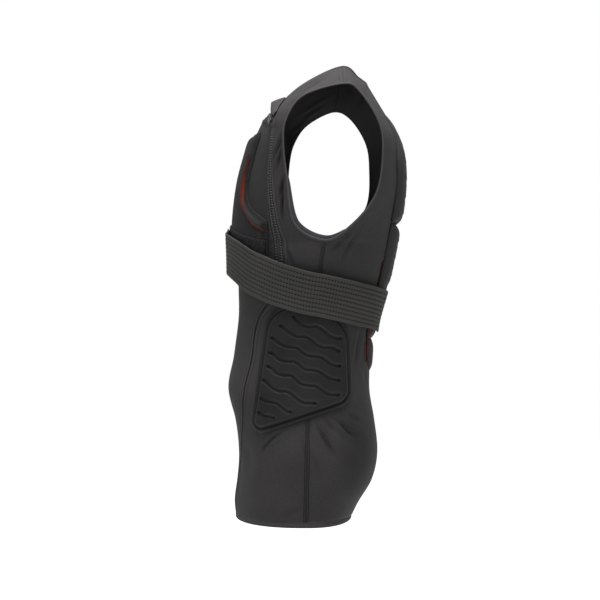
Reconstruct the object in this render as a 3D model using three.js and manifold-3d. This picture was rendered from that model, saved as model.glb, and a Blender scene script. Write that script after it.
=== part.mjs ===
// Protective vest: a sleeveless stretch-knit vest with a foam chest pad, ribbed side pads, a plated back
// protector, a bib zipper and a wide elastic belt that closes on a loop patch at the front.
// Millimetres, +Z up, +X is the wearer's left and -Y the wearer's front. The origin lies midway between the
// shoulders, on the line where they carry the vest.
import * as THREE from "three";
import { mergeGeometries, mergeVertices } from "three/addons/utils/BufferGeometryUtils.js";
import Module from "manifold-3d";

const wasm = await Module();
wasm.setup();
const { lerp, clamp, degToRad } = THREE.MathUtils;

// Driving sizes
const clothThickness = 2;
const seamGap = 0.7; // between two sewn panels
const restGap = 0.6; // between a piece and what it lies on
const padGap = 1; // between a pad and the cloth
const hemZ = -641;
const hemHeight = 9;
const bindingRadius = 1.6;
const zipHalfWidth = 3.2;
const padHeight = 8;
const ribPadHeight = 7;
const ribFlangeHeight = 3;
const ribFlangeWidth = 7.5;
const plateHeight = 8.5;
const beltWidth = 60;
const beltThickness = 2.2;
const patchThickness = 2;
const trimWidth = 5.5;
const trimThickness = 1;

// Centre lines of the cloth at the front and the back, by height.
const centreLines = [
  { z: -641, front: -156, back: 15 },
  { z: -617, front: -158, back: 27 },
  { z: -585, front: -154.5, back: 46 },
  { z: -545, front: -152, back: 54.5 },
  { z: -497, front: -158, back: 50 },
  { z: -450, front: -168, back: 43 },
  { z: -400, front: -159, back: 43.5 },
  { z: -353, front: -153.5, back: 48 },
  { z: -305, front: -153, back: 61 },
  { z: -257, front: -153.5, back: 72 },
  { z: -209, front: -154.5, back: 81 },
  { z: -149, front: -148, back: 89 },
  { z: -101, front: -136, back: 88 },
  { z: -77, front: -128, back: 83 },
  { z: -53, front: -117, back: 73 },
  { z: 3, front: -92, back: 39 },
];

// Side seam by height, and how full the oval section is there: 2 is an ellipse, more is squarer.
const sideSeam = [
  { z: -641, x: 163, y: -53, fullness: 2.3 },
  { z: -545, x: 168, y: -51, fullness: 2.3 },
  { z: -473, x: 158, y: -49, fullness: 2.3 },
  { z: -400, x: 148, y: -46, fullness: 2.3 },
  { z: -320, x: 149, y: -39, fullness: 2.35 },
  { z: -237, x: 161, y: -27, fullness: 2.4 },
];

// Edge of the cloth round the left armhole, from the underarm up the front, over the shoulder and down
// the back.
const armholeEdge = [
  { name: "underarm", x: 161, y: -27, z: -237 },
  { name: "lower front", x: 159, y: -69, z: -205 },
  { name: "front", x: 161, y: -81, z: -147 },
  { name: "deepest front", x: 166, y: -85.5, z: -103 },
  { name: "upper front", x: 172, y: -82, z: -67 },
  { name: "shoulder front", x: 180, y: -57, z: -33.5 },
  { name: "shoulder tip", x: 185, y: 0, z: -17 },
  { name: "shoulder back", x: 184, y: 23, z: -28.5 },
  { name: "upper back", x: 180, y: 49.5, z: -70 },
  { name: "deepest back", x: 176, y: 56, z: -110 },
  { name: "back", x: 169, y: 47, z: -171 },
  { name: "lower back", x: 164, y: 10, z: -220 },
];

// Edge of the cloth round the neck, from the front to the back on the left. The right side mirrors it.
const neckEdge = [
  { name: "centre front", x: 0, y: -117, z: -53 },
  { name: "zip top", x: 38, y: -103, z: -43 },
  { name: "side front", x: 65, y: -58, z: -5.5 },
  { name: "shoulder point", x: 76, y: 0, z: 20 },
  { name: "side back", x: 54, y: 25, z: 7 },
  { name: "centre back", x: 0, y: 39, z: 3 },
];

// Line of the zipper on the left front, which the seam on the right front mirrors.
const zipLine = [
  { z: -641, x: 46 },
  { z: -590, x: 50 },
  { z: -540, x: 68 },
  { z: -500, x: 92 },
  { z: -455, x: 108 },
  { z: -400, x: 110 },
  { z: -370, x: 109.5 },
  { z: -345, x: 116 },
  { z: -325, x: 129 },
  { z: -300, x: 138 },
  { z: -266, x: 144 },
  { z: -225, x: 147 },
  { z: -192, x: 144.5 },
  { z: -160, x: 137.5 },
  { z: -126, x: 129.5 },
  { z: -92, x: 118 },
  { z: -76, x: 104 },
  { z: -62, x: 82 },
  { z: -43, x: 38 },
];

// Outlines of the flat pads as corners with their rounding. The mirrored ones give the left half, from
// the top down.
const chestPadCorners = [
  { x: 68, z: -74, r: 16 },
  { x: 79, z: -172, r: 55 },
  { x: 136.5, z: -209, r: 9 },
  { x: 134, z: -286, r: 16 },
];
const loopPatchCorners = [
  { x: 133, z: -234, r: 3 },
  { x: 131, z: -279, r: 3 },
];
const loopPatchPeak = -207; // top of the patch on the centre line
const ribPadCorners = [
  { x: -106, z: -322, r: 44 },
  { x: 8, z: -330, r: 40 },
  { x: 12, z: -467, r: 26 },
  { x: -134, z: -517, r: 17 },
];
const backPlates = [
  {
    name: "back_plate_upper",
    corners: [
      { x: 60, z: -46, r: 26 },
      { x: 97, z: -122, r: 60 },
      { x: 91, z: -207, r: 9 },
    ],
  },
  {
    name: "back_plate_middle",
    corners: [
      { x: 91, z: -211, r: 9 },
      { x: 75, z: -375, r: 8 },
    ],
  },
  {
    name: "back_plate_lower",
    corners: [
      { x: 74, z: -379, r: 8 },
      { x: 56, z: -424, r: 26 },
    ],
  },
];

// Accent trim on the chest pad and piping beside the lower back plates, as routes on the left half.
const chestTrimRoute = [
  { x: 65, z: -118 },
  { x: 72, z: -149 },
  { x: 82, z: -178 },
  { x: 104, z: -201 },
  { x: 129, z: -219 },
];
const backPipingRoute = [
  { x: 90, z: -262 },
  { x: 83, z: -330 },
  { x: 78.5, z: -380 },
  { x: 72, z: -412 },
];
const pipingRadius = 1.5;

// Run of the belt over the left half, by quarters of the way round from the centre front (0) through the
// left side (1) to the centre back (2): height of its middle and how far its inner face stands off the
// cloth.
const beltRun = [
  { quarter: -0.3, z: -240, lift: 15.4 },
  { quarter: 0, z: -249, lift: 15.8 },
  { quarter: 0.2, z: -255, lift: 15.4 },
  { quarter: 0.35, z: -264, lift: 14.4 },
  { quarter: 0.5, z: -278, lift: 13.4 },
  { quarter: 0.63, z: -288, lift: 12.6 },
  { quarter: 0.75, z: -297, lift: 10.6 },
  { quarter: 1, z: -311.5, lift: 9.4 },
  { quarter: 1.3, z: -322.5, lift: 8.2 },
  { quarter: 1.6, z: -330, lift: 8.3 },
  { quarter: 2, z: -337, lift: 8.2 },
];
const beltEnds = { over: -0.24, under: -0.12 }; // how far each end passes the centre front, in quarters
const beltLayerDrop = 2.7; // the under end lies this much closer to the cloth

// Wave grooves of the side pads
const grooves = {
  count: 8,
  firstZ: -350, // of the top groove where it crosses centreY
  centreY: -50,
  pitch: 22,
  slope: -0.45,
  swing: 2.6,
  wave: 34,
  width: 3.6,
  depth: 2.6,
};

// Smooth curve through a table's rows, by the key column: Hermite spans with slopes from the
// neighbouring rows.
function tableCurve(rows, key) {
  const columns = Object.keys(rows[0]).filter((name) => name !== key);
  const last = rows.length - 1;
  const slope = (i, name) => {
    const before = rows[Math.max(i - 1, 0)];
    const after = rows[Math.min(i + 1, last)];
    return (after[name] - before[name]) / (after[key] - before[key]);
  };
  return (at) => {
    const found = rows.findIndex((row) => row[key] > at);
    const i = clamp(found < 0 ? last - 1 : found - 1, 0, last - 1);
    const span = rows[i + 1][key] - rows[i][key];
    const t = (at - rows[i][key]) / span;
    const made = {};
    for (const name of columns) {
      const [p, q] = [rows[i][name], rows[i + 1][name]];
      const [m, n] = [slope(i, name) * span, slope(i + 1, name) * span];
      const inside = p + t * (m + t * (3 * (q - p) - 2 * m - n + t * (2 * (p - q) + m + n)));
      made[name] = t < 0 ? p + m * t : t > 1 ? q + n * (t - 1) : inside;
    }
    return made;
  };
}

// Finds where a rising function of one value reaches a level.
function solve(rising, level, low, high) {
  for (let i = 0; i < 45; i++) {
    const middle = (low + high) / 2;
    if (rising(middle) < level) low = middle;
    else high = middle;
  }
  return (low + high) / 2;
}

const steps = (from, to, count) => Array.from({ length: count + 1 }, (_, i) => lerp(from, to, i / count));
const vector = ({ x, y, z }) => new THREE.Vector3(x, y, z);
const loopThrough = (rows) => new THREE.CatmullRomCurve3(rows.map(vector), true, "catmullrom", 0.5);

const centreAt = tableCurve(centreLines, "z");
const sideAt = tableCurve(sideSeam, "z");
const zipAt = tableCurve(zipLine, "z");
const armhole = loopThrough(armholeEdge);
const mirroredNeck = neckEdge.slice(1, -1).reverse().map((row) => ({ ...row, x: -row.x }));
const neck = loopThrough([...neckEdge, ...mirroredNeck]);
const neckCount = neckEdge.length + mirroredNeck.length;
const neckShare = (name) => neckEdge.findIndex((row) => row.name === name) / neckCount;
const tipShare = armholeEdge.findIndex((row) => row.name === "shoulder tip") / armholeEdge.length;

// The cloth is four mirrored quarters. On each, u runs from the centre line (0) to the side seam or the
// armhole (1), and v from the hem (0) past the underarm to the shoulder seam (1).
const underarmV = 0.6;
const underarmZ = armholeEdge[0].z;
const shoulderTurn = degToRad(40);
const upperFullness = 1.7;
const faces = {
  front: { outward: 1, neckV: 0.84, neckStart: neckShare("centre front"), armStart: 0 },
  back: { outward: -1, neckV: 0.92, neckStart: neckShare("centre back"), armStart: 1 },
};
const zipTopV = lerp(
  faces.front.neckV,
  1,
  neckShare("zip top") / neckShare("shoulder point"),
);

function edges(name, v) {
  const face = faces[name];
  const z = lerp(hemZ, underarmZ, v / underarmV);
  const above = (v - underarmV) / (1 - underarmV);
  const side = sideAt(z);
  const outer =
    above <= 0
      ? new THREE.Vector3(side.x, side.y, z)
      : armhole.getPoint(lerp(face.armStart, tipShare, above));
  if (v > face.neckV) {
    const along = (v - face.neckV) / (1 - face.neckV);
    return { inner: neck.getPoint(lerp(face.neckStart, neckShare("shoulder point"), along)), outer };
  }
  const neckZ = neck.getPoint(face.neckStart).z;
  const rise = clamp((v - underarmV) / (face.neckV - underarmV), 0, 1);
  const centreZ = above <= 0 ? z : lerp(underarmZ, neckZ, rise);
  return { inner: new THREE.Vector3(0, centreAt(centreZ)[name], centreZ), outer };
}

// How far the section turns from facing forwards to facing sideways, and its roundness.
function sectionShape(v) {
  const above = clamp((v - underarmV) / (1 - underarmV), 0, 1);
  const fullness = sideAt(lerp(hemZ, underarmZ, Math.min(v / underarmV, 1))).fullness;
  return {
    turn: lerp(Math.PI / 2, shoulderTurn, 1 - (1 - above) ** 1.9),
    power: 2 / lerp(fullness, upperFullness, THREE.MathUtils.smoothstep(above, 0, 0.5)),
  };
}

function clothPoint(name, u, v) {
  const { inner, outer } = edges(name, v);
  const { turn, power } = sectionShape(v);
  const across = (Math.sin(u * turn) / Math.sin(turn)) ** power;
  const round = (1 - Math.abs(Math.cos(u * turn)) ** power) / (1 - Math.abs(Math.cos(turn)) ** power);
  return new THREE.Vector3(
    lerp(inner.x, outer.x, across),
    lerp(inner.y, outer.y, round),
    lerp(inner.z, outer.z, across),
  );
}

// A place on the cloth's outer face, with the direction out of it. side is 1 on the left, -1 on the right.
function cloth(name, u, v, side = 1) {
  const step = 1e-3;
  const along = clothPoint(name, Math.min(u + step, 1), v).sub(clothPoint(name, Math.max(u - step, 0), v));
  const up = clothPoint(name, u, Math.min(v + step, 1)).sub(clothPoint(name, u, Math.max(v - step, 0)));
  const point = clothPoint(name, u, v);
  const normal = along.cross(up).multiplyScalar(faces[name].outward);
  if (point.x === 0) normal.x = 0;
  normal.normalize();
  point.x *= side;
  normal.x *= side;
  return { point, normal };
}

// The place on the front or back that shows at x and z when that face is looked at squarely.
function onFace(name, x, z) {
  const acrossAt = (v) => {
    const { inner, outer } = edges(name, v);
    return { inner, outer, share: clamp((Math.abs(x) - inner.x) / (outer.x - inner.x), 0, 1) };
  };
  const v = solve((at) => {
    const { inner, outer, share } = acrossAt(at);
    return lerp(inner.z, outer.z, share);
  }, z, 0, 1);
  const { turn, power } = sectionShape(v);
  const u = Math.asin(acrossAt(v).share ** (1 / power) * Math.sin(turn)) / turn;
  return cloth(name, u, v, x < 0 ? -1 : 1);
}

// The place on a side, below the underarm, that shows at y and z when that side is looked at squarely.
function onSide(y, z, side) {
  const v = (underarmV * (z - hemZ)) / (underarmZ - hemZ);
  const name = y < sideAt(z).y ? "front" : "back";
  const { inner, outer } = edges(name, v);
  const { power } = sectionShape(v);
  const share = clamp((y - outer.y) / (inner.y - outer.y), 0, 1);
  return cloth(name, Math.acos(share ** (1 / power)) / (Math.PI / 2), v, side);
}

// The place at a height, some quarters of the way round from the centre front. Left is positive.
function around(quarter, z) {
  const far = Math.abs(quarter);
  const [name, u] = far <= 1 ? ["front", far] : ["back", 2 - far];
  const v = solve((at) => clothPoint(name, u, at).z, z, 0, 0.9);
  return cloth(name, u, v, Math.sign(quarter) || 1);
}

// u of a line that runs a distance beside the zipper, outwards if positive. It is 0 above the neck edge.
function besideZip(v, distance) {
  return solve((u) => {
    const point = clothPoint("front", u, v);
    const zip = zipAt(point.z);
    const lean = zipAt(point.z + 1).x - zip.x; // over one millimetre of height
    return point.x - zip.x - distance * Math.hypot(1, lean);
  }, 0, 0, 1);
}

// A closed geometry with its doubled corners joined, its empty triangles dropped and its faces
// pointing out.
function closed(geometry) {
  const bare = new THREE.BufferGeometry().setAttribute("position", geometry.getAttribute("position"));
  const merged = mergeVertices(geometry.index ? bare.setIndex(geometry.index) : bare, 1e-3);
  const position = merged.getAttribute("position");
  const corner = (i) => new THREE.Vector3().fromBufferAttribute(position, i);
  const kept = [];
  let volume = 0;
  for (let i = 0; i < merged.index.count; i += 3) {
    const [a, b, c] = [0, 1, 2].map((k) => merged.index.getX(i + k));
    if (a === b || b === c || c === a) continue;
    kept.push([a, b, c]);
    volume += corner(a).dot(corner(b).cross(corner(c)));
  }
  return merged.setIndex(kept.flatMap(([a, b, c]) => (volume < 0 ? [a, c, b] : [a, b, c])));
}

// Moves each corner of a geometry to where place(a, b, c) puts it.
function wrapped(geometry, place) {
  const position = geometry.getAttribute("position");
  for (let i = 0; i < position.count; i++) {
    const put = place(position.getX(i), position.getY(i), position.getZ(i));
    position.setXYZ(i, put.x, put.y, put.z);
  }
  return geometry;
}

const outFrom = ({ point, normal }, distance) => point.clone().addScaledVector(normal, distance);

// A strip of one quarter's cloth between two lines u = from(v) and u = to(v), over the rows of v.
function clothStrip({ face, side, rows, from, to, columns, inside = -clothThickness, outside = 0 }) {
  const box = new THREE.BoxGeometry(1, 1, 1, columns, rows.length - 1, 1);
  return wrapped(box, (a, b, c) => {
    const v = rows[Math.round((b + 0.5) * (rows.length - 1))];
    return outFrom(cloth(face, lerp(from(v), to(v), a + 0.5), v, side), c > 0 ? outside : inside);
  });
}

// Two mirrored strips as one panel: the walls where they meet on the centre line are left out.
function joinedAtCentre(strips) {
  return strips.map((strip) => {
    const position = strip.toNonIndexed().getAttribute("position");
    const kept = [];
    for (let i = 0; i < position.count; i += 3) {
      const corners = [0, 1, 2].map((k) => new THREE.Vector3().fromBufferAttribute(position, i + k));
      if (corners.every(({ x }) => Math.abs(x) < 1e-4)) continue;
      kept.push(...corners.flatMap((corner) => corner.toArray()));
    }
    const open = new THREE.BufferGeometry();
    return open.setAttribute("position", new THREE.Float32BufferAttribute(kept, 3));
  });
}

// Turns the triangles of a mirrored strip round, so that it faces the same way as its twin.
function turnedRound(geometry) {
  const position = geometry.getAttribute("position");
  for (let i = 0; i < position.count; i += 3) {
    const [b, c] = [1, 2].map((k) => new THREE.Vector3().fromBufferAttribute(position, i + k));
    position.setXYZ(i + 1, c.x, c.y, c.z);
    position.setXYZ(i + 2, b.x, b.y, b.z);
  }
  return geometry;
}

function mirroredPanel(left, right) {
  const [leftOpen, rightOpen] = joinedAtCentre([left, right]);
  return closed(mergeGeometries([leftOpen, turnedRound(rightOpen)]));
}

// A ring along a closed row of places, with a cross-section given as points { out, along } about each
// place.
function ring(places, section) {
  const torus = new THREE.TorusGeometry(1, 0.25, section.length, places.length);
  const position = torus.getAttribute("position");
  const uv = torus.getAttribute("uv");
  for (let i = 0; i < position.count; i++) {
    const at = places[Math.round(uv.getX(i) * places.length) % places.length];
    const { out, along } = section[Math.round(uv.getY(i) * section.length) % section.length];
    const put = at.point.clone().addScaledVector(at.normal, out).addScaledVector(at.edge, along);
    position.setXYZ(i, put.x, put.y, put.z);
  }
  return closed(torus);
}

// Adds to each place of a closed edge the direction that leads off the cloth, towards the middle of the
// hole.
function withEdge(places) {
  const sum = places.reduce((total, at) => total.add(at.point), new THREE.Vector3());
  const middle = sum.divideScalar(places.length);
  return places.map((at, i) => {
    const next = places[(i + 1) % places.length].point;
    const previous = places[(i + places.length - 1) % places.length].point;
    const edge = next.clone().sub(previous).cross(at.normal).normalize();
    if (edge.dot(middle.clone().sub(at.point)) < 0) edge.negate();
    return { ...at, edge };
  });
}

function roundSection(radius, sides, out, along) {
  return Array.from({ length: sides }, (_, i) => {
    const angle = (2 * Math.PI * i) / sides;
    return { out: out + radius * Math.cos(angle), along: along + radius * Math.sin(angle) };
  });
}

// Flat outline with round corners and sides that bow out a little, in steps short enough to bend.
const sideBow = 0.3;
const sideStep = 28;
function roundedShape(corners) {
  const count = corners.length;
  const rounds = corners.map(({ x, z, r }, i) => {
    const corner = new THREE.Vector2(x, z);
    const toward = (other) => new THREE.Vector2(other.x, other.z).sub(corner).normalize();
    const [back, ahead] = [toward(corners[(i + count - 1) % count]), toward(corners[(i + 1) % count])];
    const half = Math.acos(clamp(back.dot(ahead), -1, 1)) / 2;
    const centre = back.clone().add(ahead).normalize().multiplyScalar(r / Math.sin(half)).add(corner);
    const at = (way) => corner.clone().addScaledVector(way, r / Math.tan(half));
    return { r, centre, start: at(back), end: at(ahead), clockwise: back.cross(ahead) > 0 };
  });
  const shape = new THREE.Shape();
  shape.moveTo(rounds[0].start.x, rounds[0].start.y);
  rounds.forEach(({ r, centre, start, end, clockwise }, i) => {
    const angle = (point) => point.clone().sub(centre).angle();
    shape.absarc(centre.x, centre.y, r, angle(start), angle(end), clockwise);
    const side = rounds[(i + 1) % count].start.clone().sub(end);
    const outward = new THREE.Vector2(side.y, -side.x).normalize().multiplyScalar(clockwise ? -1 : 1);
    for (const t of steps(0, 1, Math.ceil(side.length() / sideStep)).slice(1)) {
      const put = end.clone().addScaledVector(side, t).addScaledVector(outward, 4 * sideBow * t * (1 - t));
      if (i < count - 1 || t < 1) shape.lineTo(put.x, put.y);
    }
  });
  shape.closePath();
  return shape;
}

// Corners moved inwards from every side by the same distance.
function insetCorners(corners, distance) {
  const count = corners.length;
  const area = corners.reduce((sum, p, i) => {
    const q = corners[(i + 1) % count];
    return sum + p.x * q.z - q.x * p.z;
  }, 0);
  const turn = Math.sign(area);
  return corners.map((corner, i) => {
    const [before, after] = [corners[(i + count - 1) % count], corners[(i + 1) % count]];
    const inward = (p, q) => new THREE.Vector2(p.z - q.z, q.x - p.x).normalize().multiplyScalar(turn);
    const [m, n] = [inward(before, corner), inward(corner, after)];
    const move = m.clone().add(n).multiplyScalar(distance / (1 + m.dot(n)));
    return { x: corner.x + move.x, z: corner.z + move.y, r: Math.max(corner.r - distance, 2) };
  });
}

const mirrored = (corners) => [
  ...corners,
  ...corners.toReversed().map(({ x, z, r }) => ({ x: -x, z, r })),
];

// A geometry as a solid to cut. With keepCells, the flat cells of its faces stay apart.
function toSolid(geometry, keepCells = false) {
  const shell = closed(geometry);
  const mesh = {
    numProp: 3,
    vertProperties: shell.getAttribute("position").array,
    triVerts: new Uint32Array(shell.index.array),
  };
  if (keepCells) mesh.faceID = Uint32Array.from({ length: shell.index.count / 3 }, (_, i) => i);
  return new wasm.Manifold(new wasm.Mesh(mesh));
}

function toGeometry(solid) {
  const mesh = solid.getMesh();
  return new THREE.BufferGeometry()
    .setAttribute("position", new THREE.BufferAttribute(mesh.vertProperties, 3))
    .setIndex(new THREE.BufferAttribute(mesh.triVerts, 1));
}

// A flat outline raised to a height, with its top edge chamfered. It is cut from a slab with a grid of
// cells, small enough to follow the body when the pad is wrapped on.
const padUnderside = -30;
function flatPad(corners, height, chamfer, grid, base = 0) {
  const outline = new THREE.ExtrudeGeometry(roundedShape(corners), {
    depth: height - padUnderside,
    curveSegments: 2,
    bevelSegments: 1,
    bevelThickness: chamfer,
    bevelSize: chamfer,
    bevelOffset: -chamfer,
  }).translate(0, 0, padUnderside - 0.7 * chamfer);
  const [columns, rows] = [grid.xs.length - 1, grid.zs.length - 1];
  const slab = wrapped(new THREE.BoxGeometry(1, 1, 1, columns, rows, 1), (a, b, c) => {
    const [x, z] = [grid.xs[Math.round((a + 0.5) * columns)], grid.zs[Math.round((b + 0.5) * rows)]];
    return new THREE.Vector3(x, z, c > 0 ? height : base);
  });
  return toSolid(slab, true).intersect(toSolid(outline, true));
}

const wrapOnFace = (solid, face, base, level = () => 1) =>
  closed(wrapped(toGeometry(solid), (x, z, c) => outFrom(onFace(face, x, z), base + c * level(z))));

// A thin strip or round piping along a route on the front or back.
function alongRoute(route, face, side, section) {
  const curve = new THREE.CatmullRomCurve3(route.map(({ x, z }) => new THREE.Vector3(x, 0, z)));
  const count = 9;
  const box = new THREE.CylinderGeometry(1, 1, 1, section.length, count, false);
  const position = box.getAttribute("position");
  const angles = section.length;
  for (let i = 0; i < position.count; i++) {
    const share = clamp(position.getY(i) + 0.5, 0, 1);
    const at = curve.getPoint(share);
    const ahead = curve.getTangent(share);
    const place = onFace(face, side * at.x, at.z);
    const next = onFace(face, side * (at.x + ahead.x), at.z + ahead.z).point;
    const sideways = next.sub(place.point).cross(place.normal).normalize();
    const axis = Math.hypot(position.getX(i), position.getZ(i)) < 1e-6;
    const turn = Math.atan2(position.getX(i), position.getZ(i)) / (2 * Math.PI) + 1;
    const corner = section[Math.round(turn * angles) % angles];
    const middle = section.reduce((sum, p) => sum + p.out / angles, 0);
    const put = outFrom(place, axis ? middle : corner.out);
    put.addScaledVector(sideways, axis ? 0 : corner.along);
    position.setXYZ(i, put.x, put.y, put.z);
  }
  return closed(box);
}

// Finishes
const finish = (color, roughness) => new THREE.MeshStandardMaterial({ color, roughness });
const knit = finish(0x3a3838, 0.72);
const edging = finish(0x363435, 0.7);
const foam = finish(0x2b2b2b, 0.6);
const elastic = finish(0x3b3b38, 0.8);
const loop = finish(0x242324, 0.95);
const accent = finish(0x6a2a20, 0.55);
const zip = finish(0x2f3032, 0.5);

const vest = new THREE.Group();
function add(name, geometry, material) {
  const mesh = new THREE.Mesh(geometry, material.clone());
  mesh.name = name;
  vest.add(mesh);
}

// Sewn cloth panels
const hemV = (underarmV * (hemHeight + seamGap)) / (underarmZ - hemZ);
const seamV = seamGap / 2 / 650; // half the gap at the shoulder seam, as a share of v
const seamU = seamGap / 2 / 220; // half the gap at the side seam, as a share of u
const lowerRows = steps(hemV, underarmV, 12);
const chestRows = steps(underarmV, faces.front.neckV, 6).slice(1);
const neckFrontRows = [...steps(faces.front.neckV, zipTopV, 3), ...steps(zipTopV, 1 - seamV, 4).slice(1)];
const shoulderBladeRows = steps(underarmV, faces.back.neckV, 8).slice(1);
const neckBackRows = steps(faces.back.neckV, 1 - seamV, 3);
const frontRows = [...lowerRows, ...chestRows, ...neckFrontRows.slice(1)];
const backRows = [...lowerRows, ...shoulderBladeRows, ...neckBackRows.slice(1)];
const outerU = (v) => (v > underarmV ? 1 : 1 - seamU);
const zipClear = zipHalfWidth + 0.4;
const bibRows = [...frontRows.filter((v) => v < zipTopV - 0.01), zipTopV - 0.008];
const bibHalf = (side, clear) =>
  clothStrip({
    face: "front",
    side,
    rows: bibRows,
    columns: 4,
    from: () => 0,
    to: (v) => besideZip(v, -clear),
  });
const sideFront = (side, clear) =>
  clothStrip({
    face: "front",
    side,
    rows: frontRows,
    columns: 6,
    from: (v) => besideZip(v, clear),
    to: outerU,
  });
const backHalf = (side) =>
  clothStrip({ face: "back", side, rows: backRows, columns: 6, from: () => 0, to: outerU });

add("front_panel", mirroredPanel(bibHalf(1, zipClear), bibHalf(-1, seamGap / 2)), knit);
add("left_front_panel", closed(sideFront(1, zipClear)), knit);
add("right_front_panel", closed(sideFront(-1, seamGap / 2)), knit);
add("back_panel", mirroredPanel(backHalf(1), backHalf(-1)), knit);

// Rolled edges round the armholes and the neck
const edgeOut = restGap + bindingRadius;
const bead = roundSection(bindingRadius, 4, -clothThickness / 2, edgeOut);
const backArmRows = backRows.slice(0, -1).filter((v) => v > underarmV);
for (const [name, side] of [["left", 1], ["right", -1]]) {
  const places = [
    ...frontRows.filter((v) => v >= underarmV).map((v) => cloth("front", 1, v, side)),
    ...backArmRows.toReversed().map((v) => cloth("back", 1, v, side)),
  ];
  add(`${name}_armhole_binding`, ring(withEdge(places), bead), edging);
}
const neckPlaces = [
  ...neckFrontRows.map((v) => cloth("front", 0, v, 1)),
  ...neckBackRows.slice(0, -1).toReversed().map((v) => cloth("back", 0, v, 1)),
  ...neckBackRows.slice(1).map((v) => cloth("back", 0, v, -1)),
  ...neckFrontRows.slice(1, -1).toReversed().map((v) => cloth("front", 0, v, -1)),
];
add("neck_binding", ring(withEdge(neckPlaces), bead), edging);

// Hem band: a flat ring below the panels
const up = new THREE.Vector3(0, 0, 1);
const hemPlaces = steps(0, 4, 36).slice(0, -1).map((quarter) => {
  const turned = quarter > 2 ? quarter - 4 : quarter;
  return { ...around(turned, hemZ + hemHeight / 2), edge: up };
});
const hemSection = [
  { out: 0.6, along: -hemHeight / 2 },
  { out: 0.6, along: hemHeight / 2 },
  { out: -clothThickness - 0.4, along: hemHeight / 2 },
  { out: -clothThickness - 0.4, along: -hemHeight / 2 },
];
add("hem_band", ring(hemPlaces, hemSection), edging);

// Zipper: its chain fills the gap beside the bib, with the slider run up to the neck
const chain = clothStrip({
  face: "front",
  side: 1,
  rows: bibRows,
  columns: 1,
  from: (v) => besideZip(v, -zipHalfWidth),
  to: (v) => besideZip(v, zipHalfWidth),
  inside: -1.2,
  outside: 1.6,
});
add("zipper_chain", closed(chain), zip);
const sliderSize = { width: 9, length: 13, height: 3.4, z: -53 };
const sliderSeat = onFace("front", zipAt(sliderSize.z).x, sliderSize.z);
const alongZip = onFace("front", zipAt(sliderSize.z + 4).x, sliderSize.z + 4).point.sub(sliderSeat.point);
alongZip.projectOnPlane(sliderSeat.normal).normalize();
const acrossZip = alongZip.clone().cross(sliderSeat.normal);
const slider = new THREE.BoxGeometry(sliderSize.width, sliderSize.length, sliderSize.height);
slider.applyMatrix4(new THREE.Matrix4().makeBasis(acrossZip, alongZip, sliderSeat.normal));
slider.translate(...outFrom(sliderSeat, 1.6 + 1.2 * restGap + sliderSize.height / 2));
add("zipper_slider", closed(slider), zip);

// Zip garage: a folded tab of cloth that hangs over the neck edge and covers the top of the zipper
const garage = { from: 0.09, to: 0.165, below: 6, above: 9, thickness: 2.4, base: 2, flare: 2.5 };
const garageBox = new THREE.BoxGeometry(1, 1, 1, 5, 2, 1);
const neckV = (share) =>
  lerp(faces.front.neckV, 1, (share - faces.front.neckStart) / neckShare("shoulder point"));
add(
  "zip_garage",
  closed(
    wrapped(garageBox, (a, b, c) => {
      const share = lerp(garage.to, garage.from, a + 0.5);
      const at = cloth("front", 0, neckV(share));
      const tangent = neck.getTangent(share);
      const climb = tangent.clone().cross(at.normal).normalize();
      if (climb.z < 0) climb.negate();
      const lean = garage.flare * (a + 0.5) ** 2 * (b + 0.5);
      const out = garage.base + lean + (c > 0 ? garage.thickness : 0);
      return outFrom(at, out).addScaledVector(climb, lerp(-garage.below, garage.above, b + 0.5));
    }),
  ),
  knit,
);

// Chest pad, its accent trim and the loop patch that the belt closes on
const chestGrid = {
  // closer where the chest turns to the side
  xs: steps(-8, 8, 16).map((k) => 140 * Math.sin((Math.PI * k) / 16)),
  zs: steps(-296, -64, 8),
};
add(
  "chest_pad",
  wrapOnFace(flatPad(mirrored(chestPadCorners), padHeight, 4, chestGrid), "front", padGap),
  foam,
);
const patchCorners = [{ x: 0, z: loopPatchPeak, r: 60 }, ...mirrored(loopPatchCorners)];
const patchBase = padGap + padHeight + restGap;
add(
  "loop_patch",
  wrapOnFace(flatPad(patchCorners, patchThickness, 0.6, chestGrid), "front", patchBase),
  loop,
);
const trimSection = [
  { out: patchBase, along: -trimWidth / 2 },
  { out: patchBase, along: trimWidth / 2 },
  { out: patchBase + trimThickness, along: trimWidth / 2 },
  { out: patchBase + trimThickness, along: -trimWidth / 2 },
];
for (const [name, side] of [["left", 1], ["right", -1]]) {
  add(`${name}_chest_trim`, alongRoute(chestTrimRoute, "front", side, trimSection), accent);
}

// Back protector: three foam plates, the middle one thinned where the belt passes, with piping beside them
const beltChannel = { z: -336, half: 36, ease: 14, keep: 0.72 };
const topTaper = { from: -125, to: -45, keep: 0.3 };
const lowerLevel = { z: -377, keep: 0.8 };
const plateLevel = (z) => {
  if (z < lowerLevel.z) return lowerLevel.keep;
  const away = Math.abs(z - beltChannel.z) - beltChannel.half;
  const channel = lerp(beltChannel.keep, 1, THREE.MathUtils.smoothstep(away, 0, beltChannel.ease));
  return channel * lerp(1, topTaper.keep, THREE.MathUtils.smoothstep(z, topTaper.from, topTaper.to));
};
const backGrid = { xs: steps(-102, 102, 8), zs: steps(-430, -40, 15) };
for (const { name, corners } of backPlates) {
  const plate = flatPad(mirrored(corners), plateHeight, 6, backGrid);
  add(name, wrapOnFace(plate, "back", padGap, plateLevel), foam);
}
for (const [name, side] of [["left", 1], ["right", -1]]) {
  const round = roundSection(pipingRadius, 5, pipingRadius + restGap, 0);
  add(`${name}_back_piping`, alongRoute(backPipingRoute, "back", side, round), accent);
}

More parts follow.
